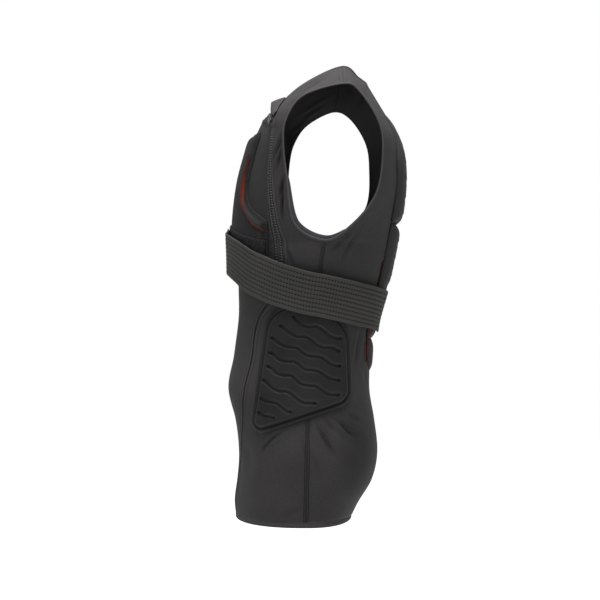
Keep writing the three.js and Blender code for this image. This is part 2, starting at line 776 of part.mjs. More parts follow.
// Side pads: a flange round a raised body with wave grooves
function ribPadFlat() {
  const [left, right, low, high] = [-140, 20, -522, -320];
  const grid = { xs: steps(left, right, 11), zs: steps(low, high, 6) };
  const coarse = { xs: steps(left, right, 5), zs: steps(low, high, 2) };
  const whole = { xs: [left, right], zs: [low, high] };
  const flange = flatPad(ribPadCorners, ribFlangeHeight, 1.2, grid);
  const body = flatPad(insetCorners(ribPadCorners, ribFlangeWidth), ribPadHeight, 2, coarse, 1);
  const field = flatPad(insetCorners(ribPadCorners, ribFlangeWidth + 7), ribPadHeight + 4, 0.2, whole);
  let pad = flange.add(body);
  for (let i = 0; i < grooves.count; i++) {
    const middle = (y) =>
      grooves.firstZ -
      i * grooves.pitch +
      grooves.slope * (y - grooves.centreY) +
      grooves.swing * Math.sin((2 * Math.PI * (y - grooves.centreY)) / grooves.wave + 0.9 * i);
    const cutter = wrapped(new THREE.BoxGeometry(1, 1, 1, 14, 1, 1), (a, b, c) => {
      const y = lerp(left, right, a + 0.5);
      const open = c > 0 ? (grooves.width * (grooves.depth + 1)) / grooves.depth : 0;
      return new THREE.Vector3(y, middle(y) + b * open, ribPadHeight + (c > 0 ? 1 : -grooves.depth));
    });
    pad = pad.subtract(toSolid(cutter).intersect(field));
  }
  return pad;
}
const ribPad = ribPadFlat();
for (const [name, side] of [["left", 1], ["right", -1]]) {
  const geometry = wrapped(toGeometry(ribPad), (y, z, c) => outFrom(onSide(y, z, side), padGap + c));
  add(`${name}_rib_pad`, closed(geometry), foam);
}

// Elastic belt: one band round the back, its ends crossing on the patch at the centre front
const beltAt = tableCurve(beltRun, "quarter");
const beltBox = new THREE.BoxGeometry(1, 1, 1, 60, 1, 1);
const fullTurn = 4;
add(
  "elastic_belt",
  closed(
    wrapped(beltBox, (a, b, c) => {
      const along = (a + 0.5) * (fullTurn - beltEnds.over - beltEnds.under) + beltEnds.under;
      const left = along > fullTurn / 2;
      const quarter = left ? fullTurn - along : along;
      const run = beltAt(quarter);
      const drop = left ? 0 : beltLayerDrop * (1 - THREE.MathUtils.smoothstep(quarter, 0.15, 0.6));
      const tilt = (beltAt(quarter + 0.02).z - beltAt(quarter - 0.02).z) / 0.04 / 220;
      const place = around(left ? quarter : -quarter, run.z + b * beltWidth * Math.hypot(1, tilt));
      return outFrom(place, run.lift - drop + (c > 0 ? beltThickness : 0));
    }),
  ),
  elastic,
);

export default vest;
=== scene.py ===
import math

import bmesh
import bpy
import numpy as np
from mathutils import Matrix, Vector


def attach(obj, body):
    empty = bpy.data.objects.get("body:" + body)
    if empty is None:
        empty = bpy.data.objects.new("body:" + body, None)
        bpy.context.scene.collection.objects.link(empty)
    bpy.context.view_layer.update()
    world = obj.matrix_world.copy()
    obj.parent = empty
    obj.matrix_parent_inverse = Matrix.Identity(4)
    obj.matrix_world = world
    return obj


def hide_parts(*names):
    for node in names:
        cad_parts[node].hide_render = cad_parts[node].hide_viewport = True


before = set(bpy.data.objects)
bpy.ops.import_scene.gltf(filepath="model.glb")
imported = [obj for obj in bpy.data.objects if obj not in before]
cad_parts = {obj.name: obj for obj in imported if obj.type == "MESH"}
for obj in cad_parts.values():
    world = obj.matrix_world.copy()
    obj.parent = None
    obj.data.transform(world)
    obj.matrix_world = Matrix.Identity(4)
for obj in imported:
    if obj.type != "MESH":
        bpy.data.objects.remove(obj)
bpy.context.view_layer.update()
scene = bpy.context.scene
mm = 0.001
weldReach = 1e-6
sides = (("left", 1), ("right", -1))
dice = np.random.default_rng(11)
print("frame loaded:", len(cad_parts), "nodes")

photoView = {"place": (2.6, -0.061, -0.32), "turn": (90, 0, 90), "lens": 104, "sensor": 36}
studio = {
    "sky": (1.0, 1.0, 1.0),
    "keyPlace": (0.55, -0.15, 2.3),
    "keyAim": (0.0, 0.0, -0.2),
    "keySize": 1.4,
    "keyPower": 330,
    "floorZ": -1.25,
    "floorRadius": 9,
    "floorSides": 96,
    "paintLow": (0.985, 0.985, 0.985),
    "paintHigh": (0.995, 0.995, 0.995),
}


def lerp(low, high, share):
    return low + (high - low) * share


def smooth(value, low, high):
    share = np.clip((np.asarray(value, float) - low) / (high - low), 0, 1)
    return share * share * (3 - 2 * share)


def hump(value, middle, width):
    return np.exp(-(((np.asarray(value, float) - middle) / width) ** 2))


def unit(vectors):
    return vectors / np.maximum(np.linalg.norm(vectors, axis=-1, keepdims=True), 1e-12)


# value of a table of (key, value) rows, straight between them
def tableValue(rows, key):
    return np.interp(key, *np.array(rows, float).T)


# shape of the cloth as worn, in millimetres
form = {
    "hemZ": -641.0,
    "underarmZ": -237.0,
    "underarmV": 0.6,
    "shoulderTurn": math.radians(40),
    "shoulderRoll": 1.9,  # how soon the section flattens above the underarm
    "upperFullness": 1.7,
    "fullnessReach": 0.5,
    "edgeHold": 4,  # how close to the seam the eased shape stays
    "centreLines": (  # z, front y, back y
        (-641, -156, 15), (-617, -158, 27), (-585, -154.5, 46), (-545, -152, 54.5), (-497, -158, 50),
        (-450, -168, 43), (-400, -159, 43.5), (-353, -153.5, 48), (-305, -153, 61), (-257, -153.5, 72),
        (-209, -154.5, 81), (-149, -148, 89), (-101, -136, 88), (-77, -128, 83), (-53, -117, 73),
        (3, -92, 39),
    ),
    "sideSeam": (  # z, x, y, fullness of the oval
        (-641, 163, -53, 2.3), (-545, 168, -51, 2.3), (-473, 158, -49, 2.3), (-400, 148, -46, 2.3),
        (-320, 149, -39, 2.35), (-237, 161, -27, 2.4),
    ),
    "armhole": (  # from the underarm up the front, over the shoulder and down the back
        (161, -27, -237), (159, -70, -213), (161, -81, -147), (166, -85.5, -103), (172, -82, -67),
        (180, -57, -33.5), (185, 0, -17), (184, 23, -28.5), (180, 49.5, -70), (176, 56, -110),
        (169, 47, -171), (164, 10, -218),
    ),
    "farArmhole": {  # points that sit closer on the right
        3: (166, -80, -103), 4: (172, -71.5, -68), 5: (180, -50, -38), 6: (185, -8, -16.5),
        7: (184, 20, -27.5), 8: (180, 45, -66), 9: (176, 52, -108),
    },
    "neck": (  # from the front round the left to the back and on round the right
        (0, -117, -53), (38, -103, -43), (65, -58, -5.5), (76, 0, 20), (54, 25, 7), (0, 39, 3),
        (-54, 25, 7), (-76, 0, 20), (-65, -58, -5.5), (-38, -103, -43),
    ),
    "zipLine": (  # z, x
        (-641, 46), (-590, 50), (-540, 68), (-500, 92), (-455, 108), (-400, 110), (-370, 109.5),
        (-345, 116), (-325, 129), (-300, 138), (-266, 143.6), (-242, 144.2), (-224, 143.9), (-204, 143),
        (-185, 140.7), (-163, 137.5), (-149, 135.5), (-135, 134.2), (-107, 133.7), (-92, 132),
        (-78, 128), (-68, 121), (-60, 110), (-53, 89), (-47, 61), (-43, 38),
    ),
    "underarmEase": 0.035,  # how far the cloth rounds over the level of the underarm, as a share of v
    "easeReach": 0.1,
    "ringTopV": 0.9,  # highest place that a ring round the body may reach
}
faces = {
    "front": {"way": 1, "neckV": 0.84, "neckStart": 0.0, "armStart": 0.0, "column": 0},
    "back": {"way": -1, "neckV": 0.92, "neckStart": 0.5, "armStart": 1.0, "column": 1},
}
shoulderShare = 0.3  # of the neck loop
zipShare = 0.1  # of the neck loop
tipShare = 0.5  # of the armhole loop
zipTopV = lerp(faces["front"]["neckV"], 1, zipShare / shoulderShare)


# smooth step from p to q that leaves with slope m and arrives with slope n
def cubic(p, q, m, n, t):
    return p + t * (m + t * (3 * (q - p) - 2 * m - n + t * (2 * (p - q) + m + n)))


def tableCurve(rows):
    table = np.array(rows, float)
    keys, values = table[:, 0], table[:, 1:]
    slopes = np.empty_like(values)
    slopes[1:-1] = (values[2:] - values[:-2]) / (keys[2:] - keys[:-2])[:, None]
    for end, inner in ((0, 1), (-1, -2)):
        slopes[end] = (values[inner] - values[end]) / (keys[inner] - keys[end])

    def at(key):
        key = np.asarray(key, float)
        i = np.clip(np.searchsorted(keys, key, side="right") - 1, 0, len(keys) - 2)
        span = (keys[i + 1] - keys[i])[..., None]
        t = (key - keys[i])[..., None] / span
        p, q, m, n = values[i], values[i + 1], slopes[i] * span, slopes[i + 1] * span
        return np.where(t < 0, p + m * t, np.where(t > 1, q + n * (t - 1), cubic(p, q, m, n, t)))

    return at


def loopCurve(points):
    knots = np.array(points, float)
    count = len(knots)

    def at(share):
        place = np.asarray(share, float) * count
        i = np.floor(place).astype(int)
        a, b, c, d = (knots[(i + k) % count] for k in (-1, 0, 1, 2))
        return cubic(b, c, (c - a) / 2, (d - b) / 2, (place - i)[..., None])

    return at


# a smooth open line through a few points
def routeThrough(points, count):
    knots = np.array(points, float)
    knots = np.vstack([2 * knots[0] - knots[1], knots, 2 * knots[-1] - knots[-2]])
    place = np.linspace(0, len(points) - 1, count + 1)
    i = np.minimum(place.astype(int), len(points) - 2)
    a, b, c, d = (knots[i + k] for k in range(4))
    return cubic(b, c, (c - a) / 2, (d - b) / 2, (place - i)[:, None])


centreAt = tableCurve(form["centreLines"])
sideAt = tableCurve(form["sideSeam"])
zipTable = tableCurve(form["zipLine"])
armholeAt = {
    1: loopCurve(form["armhole"]),
    -1: loopCurve([form["farArmhole"].get(k, knot) for k, knot in enumerate(form["armhole"])]),
}
neckAt = loopCurve(form["neck"])


def zipAt(z):
    return zipTable(z)[..., 0]


# halves the span until a rising measure meets its level
def solve(rising, level, low, high, shape, halvings=32):
    low, high = np.full(shape, float(low)), np.full(shape, float(high))
    for _ in range(halvings):
        middle = (low + high) / 2
        under = rising(middle) < level
        low, high = np.where(under, middle, low), np.where(under, high, middle)
    return (low + high) / 2


# rounds a table of values over the level of the underarm
def eased(values):
    spread = form["underarmEase"] * (len(tableV) - 1)
    reach = np.arange(-int(3 * spread), int(3 * spread) + 1)
    weights = hump(reach, 0, spread * math.sqrt(2))
    weights = weights / weights.sum()
    flat = values.reshape(len(tableV), -1)
    padded = np.pad(flat, ((reach[-1], reach[-1]), (0, 0)), mode="reflect", reflect_type="odd")
    soft = np.stack([np.convolve(column, weights, "valid") for column in padded.T], -1)
    near = hump(tableV, form["underarmV"], form["easeReach"])[:, None]
    return lerp(flat, soft, near).reshape(values.shape)


# u runs from the centre line (0) to the side seam or armhole (1), v from the hem (0) to the shoulder (1)
def edgeTable(name, side):
    face, v = faces[name], tableV
    z = lerp(form["hemZ"], form["underarmZ"], v / form["underarmV"])
    above = (v - form["underarmV"]) / (1 - form["underarmV"])
    seamX, seamY = sideAt(z)[..., 0], sideAt(z)[..., 1]
    seam = np.stack([seamX, seamY, z], -1)
    arm = armholeAt[side](lerp(face["armStart"], tipShare, np.clip(above, 0, 1)))
    outer = np.where((above <= 0)[..., None], seam, arm)
    along = np.clip((v - face["neckV"]) / (1 - face["neckV"]), 0, 1)
    neckEdge = neckAt(lerp(face["neckStart"], shoulderShare, along))
    neckZ = neckAt(face["neckStart"])[2]
    rise = np.clip((v - form["underarmV"]) / (face["neckV"] - form["underarmV"]), 0, 1)
    centreZ = np.where(above <= 0, z, lerp(form["underarmZ"], neckZ, rise))
    centre = np.stack([0 * centreZ, centreAt(centreZ)[..., face["column"]], centreZ], -1)
    inner = np.where((v > face["neckV"])[..., None], neckEdge, centre)
    return np.concatenate([inner, outer, eased(outer)], -1)


def sectionTable():
    above = np.clip((tableV - form["underarmV"]) / (1 - form["underarmV"]), 0, 1)
    z = lerp(form["hemZ"], form["underarmZ"], np.minimum(tableV / form["underarmV"], 1))
    turn = lerp(math.pi / 2, form["shoulderTurn"], 1 - (1 - above) ** form["shoulderRoll"])
    upper = smooth(above, 0, form["fullnessReach"])
    power = 2 / lerp(sideAt(z)[..., 2], form["upperFullness"], upper)
    return np.stack([np.minimum(eased(turn), math.pi / 2), eased(power)], -1)


tableV = np.linspace(0, 1, 1601)
edgeTables = {(name, side): edgeTable(name, side) for name in faces for side in (1, -1)}
shapeTable = sectionTable()


def lookUp(table, v):
    place = np.clip(v, 0, 1) * (len(tableV) - 1)
    i = np.minimum(place.astype(int), len(tableV) - 2)
    return lerp(table[i], table[i + 1], (place - i)[..., None])


def edgesAt(name, v, side):
    if np.ndim(side) == 0:
        return lookUp(edgeTables[name, 1 if side > 0 else -1], v)
    left, right = (lookUp(edgeTables[name, way], v) for way in (1, -1))
    return np.where((side > 0)[..., None], left, right)


def clothEdges(name, v, side=1):
    rows = edgesAt(name, v, side)
    return rows[..., :3], rows[..., 3:6]


def sectionShape(v):
    rows = lookUp(shapeTable, v)
    return rows[..., 0], rows[..., 1]


def clothPoint(name, u, v, side=1):
    rows = edgesAt(name, v, side)
    turn, power = sectionShape(v)
    across = (np.abs(np.sin(u * turn)) / np.sin(turn)) ** power
    bend = (1 - np.abs(np.cos(u * turn)) ** power) / (1 - np.abs(np.cos(turn)) ** power)
    outer = lerp(rows[..., 6:9], rows[..., 3:6], (across ** form["edgeHold"])[..., None])
    return lerp(rows[..., :3], outer, np.stack([across, bend, across], -1))


# the place and the outward direction of the cloth
def clothAt(name, u, v, side=1):
    u, v = np.broadcast_arrays(np.asarray(u, float), np.asarray(v, float))
    step = 1e-3
    way = np.broadcast_to(side, u.shape) if np.ndim(side) else side
    point = clothPoint(name, u, v, way)
    along = clothPoint(name, np.minimum(u + step, 1), v, way)
    along = along - clothPoint(name, np.maximum(u - step, 0), v, way)
    up = clothPoint(name, u, np.minimum(v + step, 1), way)
    up = up - clothPoint(name, u, np.maximum(v - step, 0), way)
    normal = np.cross(along, up) * faces[name]["way"]
    normal[..., 0] = np.where(point[..., 0] == 0, 0, normal[..., 0])
    mirror = np.stack(np.broadcast_arrays(side, 1, 1), -1)
    return point * mirror, unit(normal) * mirror


# the place on the front or back that shows at x and z
def onFace(name, x, z):
    x, z = np.broadcast_arrays(np.asarray(x, float), np.asarray(z, float))
    side = np.where(x < 0, -1, 1)

    def share(v):
        inner, outer = clothEdges(name, v, side)
        part = (np.abs(x) - inner[..., 0]) / (outer[..., 0] - inner[..., 0])
        return inner, outer, np.clip(part, 0, 1)

    def height(v):
        inner, outer, part = share(v)
        return lerp(inner[..., 2], outer[..., 2], part)

    v = solve(height, z, 0, 1, z.shape)
    turn, power = sectionShape(v)
    u = np.arcsin(share(v)[2] ** (1 / power) * np.sin(turn)) / turn
    return clothAt(name, u, v, side)


# the place on a side, below the underarm, that shows at y and z
def onSide(y, z, side):
    y, z = np.broadcast_arrays(np.asarray(y, float), np.asarray(z, float))
    v = form["underarmV"] * (z - form["hemZ"]) / (form["underarmZ"] - form["hemZ"])
    power = sectionShape(v)[1]
    found = []
    for name in ("front", "back"):
        inner, outer = clothEdges(name, v)
        part = np.clip((y - outer[..., 1]) / (inner[..., 1] - outer[..., 1]), 0, 1)
        found.append(clothAt(name, np.arccos(part ** (1 / power)) / (math.pi / 2), v, side))
    front = (y < sideAt(z)[..., 1])[..., None]
    return tuple(np.where(front, found[0][k], found[1][k]) for k in (0, 1))


# the place at a height, some quarters of the way round from the centre front; left is positive
def around(quarter, z):
    quarter, z = np.broadcast_arrays(np.asarray(quarter, float), np.asarray(z, float))
    far = np.abs(quarter)
    side = np.where(quarter < 0, -1, 1)
    found = []
    for name, u in (("front", np.clip(far, 0, 1)), ("back", np.clip(2 - far, 0, 1))):
        v = solve(lambda at: clothPoint(name, u, at)[..., 2], z, 0, form["ringTopV"], z.shape)
        found.append(clothAt(name, u, v, side))
    return tuple(np.where((far <= 1)[..., None], found[0][k], found[1][k]) for k in (0, 1))


# the u at which the front lies some distance beside the zipper's line
def besideZip(v, distance):
    def gap(u):
        point = clothPoint("front", u, v)
        line = zipAt(point[..., 2])
        lean = zipAt(point[..., 2] + 1) - line
        return point[..., 0] - line - distance * np.hypot(1, lean)

    return solve(gap, 0, 0, 1, v.shape)


# nearest distance to a line in a chart, the share of its length there, and on which side of it
def nearLine(x, z, line):
    best = np.full(x.shape, np.inf)
    share, side = np.zeros(x.shape), np.zeros(x.shape)
    steps = np.linalg.norm(np.diff(line, axis=0), axis=1)
    length = np.concatenate([[0], np.cumsum(steps)])
    for k, step in enumerate(steps):
        (ax, az), (dx, dz) = line[k], line[k + 1] - line[k]
        t = np.clip(((x - ax) * dx + (z - az) * dz) / (step * step), 0, 1)
        px, pz = x - ax - t * dx, z - az - t * dz
        away = np.hypot(px, pz)
        nearer = away < best
        best = np.where(nearer, away, best)
        share = np.where(nearer, (length[k] + t * step) / length[-1], share)
        side = np.where(nearer, np.sign(dx * pz - dz * px), side)
    return best, share, side


# finishes
def newFinish(name, roughness, specular):
    material = bpy.data.materials.new(name)
    material.use_nodes = True
    tree = material.node_tree
    tree.nodes.clear()
    output = tree.nodes.new("ShaderNodeOutputMaterial")
    shader = tree.nodes.new("ShaderNodeBsdfPrincipled")
    tree.links.new(shader.outputs["BSDF"], output.inputs["Surface"])
    shader.inputs["Roughness"].default_value = roughness
    shader.inputs["Specular IOR Level"].default_value = specular
    return material, tree, shader


# a node with its inputs by name, or by number as i0, i1 and so on
def node(tree, kind, settings=None, **inputs):
    made = tree.nodes.new(kind)
    for name, value in (settings or {}).items():
        setattr(made, name, value)
    for name, value in inputs.items():
        numbered = name[0] == "i" and name[1:].isdigit()
        socket = made.inputs[int(name[1:]) if numbered else name]
        if isinstance(value, bpy.types.NodeSocket):
            tree.links.new(value, socket)
        else:
            socket.default_value = value
    return made


def mathNode(tree, operation, a, b):
    return node(tree, "ShaderNodeMath", {"operation": operation}, i0=a, i1=b).outputs[0]


def mixColour(tree, share, a, b):
    return node(tree, "ShaderNodeMix", {"data_type": "RGBA"}, i0=share, i6=a, i7=b).outputs[2]


def cutMap(tree, turn=0.0):
    uv = node(tree, "ShaderNodeUVMap", {"uv_map": "cut"}).outputs[0]
    turned = (0, 0, math.radians(turn))
    return node(tree, "ShaderNodeMapping", None, Vector=uv, Rotation=turned).outputs[0]


def objectMap(tree):
    return node(tree, "ShaderNodeTexCoord").outputs["Object"]


# stripes across the cut, a period in metres apart
def stripesOf(tree, period, turn=0.0, stray=0.0):
    return node(
        tree, "ShaderNodeTexWave", {"wave_type": "BANDS", "bands_direction": "X"},
        Vector=cutMap(tree, turn), Scale=math.pi / 10 / period, Distortion=stray,
    ).outputs["Fac"]


def noiseOf(tree, scale, detail):
    made = node(tree, "ShaderNodeTexNoise", None, Vector=objectMap(tree), Scale=scale, Detail=detail)
    return made.outputs["Fac"]


def summed(tree, *parts):
    scaled = [mathNode(tree, "MULTIPLY", value, share) for value, share in parts]
    total = scaled[0]
    for part in scaled[1:]:
        total = mathNode(tree, "ADD", total, part)
    return total


def rampOf(tree, value, stops):
    made = node(tree, "ShaderNodeValToRGB", None, Fac=value)
    ramp = made.color_ramp
    for k, (place, colour) in enumerate(stops):
        stop = ramp.elements[k] if k < 2 else ramp.elements.new(place)
        stop.position = place
        stop.color = (*colour, 1)
    return made.outputs["Color"]


def shaded(tree, value, look):
    return rampOf(tree, value, zip(look["stops"], (look["low"], look["high"])))


def rangeOf(tree, value, low, high):
    return node(tree, "ShaderNodeMapRange", None, Value=value, i3=low, i4=high).outputs[0]


def attributeOf(tree, name):
    return node(tree, "ShaderNodeAttribute", {"attribute_name": name}).outputs["Fac"]


def bumpOf(tree, height, distance, strength, before=None):
    made = node(tree, "ShaderNodeBump", None, Height=height, Distance=distance, Strength=strength)
    if before is not None:
        tree.links.new(before, made.inputs["Normal"])
    return made.outputs["Normal"]


# darkens a colour with painted shade in the hollows of a piece (on the trims, darker along parts of their
# length) and lightens it with painted highlights along its lit edges
def withPaintedLight(tree, colour, look):
    hollow = mixColour(tree, attributeOf(tree, "tone"), colour, (*look["dark"], 1))
    return mixColour(tree, attributeOf(tree, "wear"), hollow, (*look["highlight"], 1))


def feed(tree, shader, **sources):
    names = {"colour": "Base Color", "normal": "Normal", "roughness": "Roughness"}
    for name, source in sources.items():
        tree.links.new(source, shader.inputs[names[name]])


# dark is the colour of the painted shade, highlight the colour of the painted highlights
knitLook = {
    "low": (0.0105, 0.0099, 0.0101), "high": (0.0211, 0.02, 0.0203), "stops": (0.3, 0.78),
    "dark": (0.002, 0.002, 0.0022), "highlight": (0.06, 0.058, 0.058), "roughness": 0.78,
    "twill": {"period": 0.0021, "turn": 38, "stray": 0.6}, "twillShare": 0.3,
    "rib": {"period": 0.001, "turn": -52, "stray": 0.8}, "ribShare": 0.06,
    "mottle": {"scale": 14, "detail": 3}, "mottleShare": 0.32,
    "fuzz": {"scale": 430, "detail": 2}, "fuzzShare": 0.42,
    "weaveBump": (0.0003, 0.5), "fuzzBump": (0.0002, 0.25),
}


def knitFinish(name, look, gain=1.0, specular=0.04):
    material, tree, shader = newFinish(name, look["roughness"], specular)
    twill, rib = (stripesOf(tree, **look[k]) for k in ("twill", "rib"))
    mottle, fuzz = (noiseOf(tree, **look[k]) for k in ("mottle", "fuzz"))
    weave = summed(tree, (twill, look["twillShare"]), (rib, look["ribShare"]))
    grain = summed(tree, (mottle, look["mottleShare"]), (fuzz, look["fuzzShare"]))
    dyed = {**look, **{k: tuple(gain * part for part in look[k]) for k in ("low", "high")}}
    colour = shaded(tree, mathNode(tree, "ADD", weave, grain), dyed)
    normal = bumpOf(tree, fuzz, *look["fuzzBump"], bumpOf(tree, weave, *look["weaveBump"]))
    feed(tree, shader, colour=withPaintedLight(tree, colour, look), normal=normal)
    return material


# dark is the colour of the painted shade, highlight the colour of the painted highlights
foamLook = {
    "low": (0.0052, 0.0051, 0.0053), "high": (0.0092, 0.009, 0.0092), "stops": (0.3, 0.75),
    "dark": (0.001, 0.001, 0.001), "highlight": (0.035, 0.035, 0.036),
    "roughness": 0.6, "roughLow": 0.52, "roughHigh": 0.7, "specular": 0.05,
    "cell": 0.0011, "cellShare": 0.3, "cellBump": (0.00025, 0.35),
    "mottle": {"scale": 25, "detail": 4}, "mottleShare": 0.75, "mottleBump": (0.0006, 0.2),
}


def foamFinish(name, look):
    material, tree, shader = newFinish(name, look["roughness"], look["specular"])
    cells = node(
        tree, "ShaderNodeTexVoronoi", {"feature": "F1"}, Vector=objectMap(tree), Scale=1 / look["cell"],
    ).outputs[0]
    mottle = noiseOf(tree, **look["mottle"])
    mixed = summed(tree, (mottle, look["mottleShare"]), (cells, look["cellShare"]))
    normal = bumpOf(tree, mottle, *look["mottleBump"], bumpOf(tree, cells, *look["cellBump"]))
    feed(
        tree, shader, colour=withPaintedLight(tree, shaded(tree, mixed, look), look), normal=normal,
        roughness=rangeOf(tree, mottle, look["roughLow"], look["roughHigh"]),
    )
    return material


threadLook = {
    "low": (0.016, 0.0155, 0.0155), "high": (0.032, 0.031, 0.031), "stops": (0.3, 0.7),
    "roughness": 0.75, "specular": 0.1, "twist": {"scale": 1500, "detail": 1}, "bump": (0.0002, 0.4),
}


def threadFinish(name, look):
    material, tree, shader = newFinish(name, look["roughness"], look["specular"])
    twist = noiseOf(tree, **look["twist"])
    feed(tree, shader, colour=shaded(tree, twist, look), normal=bumpOf(tree, twist, *look["bump"]))
    return material


knit = knitFinish("stretchKnit", knitLook)
edging = knitFinish("rolledEdging", knitLook, 1.25)
foam = foamFinish("ventFoam", foamLook)
coverKnit = knitFinish("padCover", knitLook, 0.45)
plateCover = knitFinish("plateCover", knitLook, 0.92)
thread = threadFinish("sewingThread", threadLook)
# the inside face of the cloth is the knit at a fifth of its brightness: painted shade for the shade inside
# the vest
shadedInside = knitFinish("paintedShadeInside", knitLook, 0.2, 0.022)
seamTape = knitFinish("seamTape", knitLook, 0.55)
facingLook = {**knitLook, "low": (0.0155, 0.0148, 0.0172), "high": (0.029, 0.0278, 0.0322)}
facingKnit = knitFinish("armholeFacing", facingLook)
flapKnit = knitFinish("foldedFlap", knitLook, 1.35)
print("finishes ready")


# meshes
def meshFrom(name, bm):
    mesh = bpy.data.meshes.new(name)
    bm.to_mesh(mesh)
    bm.free()
    return mesh


def readPoints(mesh):
    flat = np.empty(len(mesh.vertices) * 3)
    mesh.vertices.foreach_get("co", flat)
    return flat.reshape(-1, 3)


def paintPoints(mesh, **values):
    for name, value in values.items():
        layer = mesh.attributes.get(name) or mesh.attributes.new(name, "FLOAT", "POINT")
        layer.data.foreach_set("value", np.clip(value, 0, 1).astype(np.float32).ravel())


def paintCut(mesh, uv):
    layer = mesh.uv_layers.get("cut") or mesh.uv_layers.new(name="cut")
    corners = np.empty(len(mesh.loops), int)
    mesh.loops.foreach_get("vertex_index", corners)
    layer.data.foreach_set("uv", uv[corners].astype(np.float32).ravel())


# length run along the rows (axis 1) or columns (axis 0) of a grid of places
def runOf(places, axis):
    run = np.cumsum(np.linalg.norm(np.diff(places, axis=axis), axis=-1), axis=axis)
    return np.concatenate([np.zeros_like(np.take(run, [0], axis)), run], axis)


# a grid moved to places[row, column], with its faces turned the way that outward points
def gridMesh(name, places, outward, uv=None, **paint):
    rows, columns = places.shape[0] - 1, places.shape[1] - 1
    paint = {"tone": 0.0, "wear": 0.0, **paint}
    paint = {kind: np.broadcast_to(value, places.shape[:2]) for kind, value in paint.items()}
    facing = np.cross(np.gradient(places, axis=1), np.gradient(places, axis=0))
    if np.sum(facing * outward) < 0:
        places = places[:, ::-1]
        uv = None if uv is None else uv[:, ::-1]
        paint = {kind: value[:, ::-1] for kind, value in paint.items()}
    if uv is None:
        uv = np.stack([runOf(places, 1), runOf(places, 0)], -1) * mm
    bm = bmesh.new()
    bmesh.ops.create_grid(bm, x_segments=columns, y_segments=rows, size=0.5)
    mesh = meshFrom(name, bm)
    flat = readPoints(mesh)[:, :2]
    share = (flat - flat.min(0)) / np.ptp(flat, axis=0)
    column, row = np.rint(share * (columns, rows)).astype(int).T
    mesh.vertices.foreach_set("co", (places[row, column] * mm).ravel())
    paintCut(mesh, uv[row, column])
    paintPoints(mesh, **{kind: value[row, column] for kind, value in paint.items()})
    return mesh


def joined(name, meshes, weld=0.0):
    bm = bmesh.new()
    for mesh in meshes:
        bm.from_mesh(mesh)
    if weld:
        bmesh.ops.remove_doubles(bm, verts=bm.verts[:], dist=weld)
    made = meshFrom(name, bm)
    for mesh in meshes:
        bpy.data.meshes.remove(mesh)
    return made


def addObject(name, data):
    made = bpy.data.objects.new(name, data)
    scene.collection.objects.link(made)
    return made


def addPiece(mesh, material, slot, *nodes):
    piece = addObject(mesh.name, mesh)
    mesh.materials.clear()
    mesh.materials.append(material)
    mesh.polygons.foreach_set("use_smooth", np.ones(len(mesh.polygons), bool))
    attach(piece, "root")
    if nodes:
        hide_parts(*nodes)
    return piece


# gives a sheet its thickness behind its face
def thicken(piece, thickness, inside=None):
    shell = piece.modifiers.new("thickness", "SOLIDIFY")
    if inside is not None:
        piece.data.materials.append(inside)
        shell.material_offset = 1
    shell.thickness = thickness * mm
    shell.offset = -1
    shell.use_even_offset = False
    shell.use_quality_normals = True


# one small mesh repeated at many places
def sown(name, seed, places):
    bm = bmesh.new()
    for place in places:
        copy = seed.copy()
        copy.transform(place)
        bm.from_mesh(copy)
        bpy.data.meshes.remove(copy)
    return meshFrom(name, bm)


def beadMesh(name, size):
    bm = bmesh.new()
    bmesh.ops.create_icosphere(bm, subdivisions=1, radius=0.5)
    bmesh.ops.scale(bm, verts=bm.verts[:], vec=Vector(size) * mm)
    return meshFrom(name, bm)


def seatAt(place, along, over, out):
    rows = [[along[k], over[k], out[k], place[k] * mm] for k in range(3)]
    return Matrix([*rows, [0, 0, 0, 1]])


# seats every so far along a line, x along it and z out of the cloth
def beadsAlong(points, normals, pitch, lift=0.0, turn=0.0):
    length = runOf(points[None], 1)[0]
    at = np.arange(pitch / 2, length[-1], pitch)
    step = 0.4

    def valuesAt(place, values):
        return np.stack([np.interp(place, length, values[:, k]) for k in range(3)], -1)

    up = unit(valuesAt(at, normals))
    along = unit(valuesAt(at + step, points) - valuesAt(at - step, points))
    over = unit(np.cross(up, along))
    along = np.cross(over, up)
    c, s = math.cos(turn), math.sin(turn)
    along, over = c * along + s * over, c * over - s * along
    return [seatAt(*seat) for seat in zip(valuesAt(at, points) + up * lift, along, over, up)]


stitch = {"size": (2.3, 0.75, 0.55), "pitch": 3.1}
stitchPlaces = []


def sewAlong(points, normals, lift):
    stitchPlaces.extend(beadsAlong(points, normals, stitch["pitch"], lift))


# stage, light and camera
def addStage():
    bm = bmesh.new()
    bmesh.ops.create_circle(
        bm, cap_ends=True, segments=studio["floorSides"], radius=studio["floorRadius"],
    )
    bmesh.ops.translate(bm, verts=bm.verts[:], vec=(0, 0, studio["floorZ"]))
    floor = addObject("paleFloor", meshFrom("paleFloor", bm))
    material, tree, shader = newFinish("palePaint", 0.9, 0.1)
    cloud = noiseOf(tree, 3, 2)
    paint = {"low": studio["paintLow"], "high": studio["paintHigh"], "stops": (0.3, 0.7)}
    feed(tree, shader, colour=shaded(tree, cloud, paint))
    floor.data.materials.append(material)

    world = bpy.data.worlds.new("studioWhite")
    world.use_nodes = True
    world.node_tree.nodes["Background"].inputs["Color"].default_value = (*studio["sky"], 1)
    scene.world = world
    key = bpy.data.lights.new("topKey", "AREA")
    key.size = studio["keySize"]
    key.energy = studio["keyPower"]
    lamp = addObject("topKey", key)
    lamp.location = studio["keyPlace"]
    aim = Vector(studio["keyAim"]) - Vector(studio["keyPlace"])
    lamp.rotation_euler = aim.to_track_quat("-Z", "Y").to_euler()

    camera = bpy.data.cameras.new("photoCamera")
    camera.lens = photoView["lens"]
    camera.sensor_width = photoView["sensor"]
    seat = addObject("photoCamera", camera)
    seat.location = photoView["place"]
    seat.rotation_euler = [math.radians(angle) for angle in photoView["turn"]]
    scene.camera = seat
    scene.view_settings.view_transform = "Standard"


addStage()
print("stage ready")
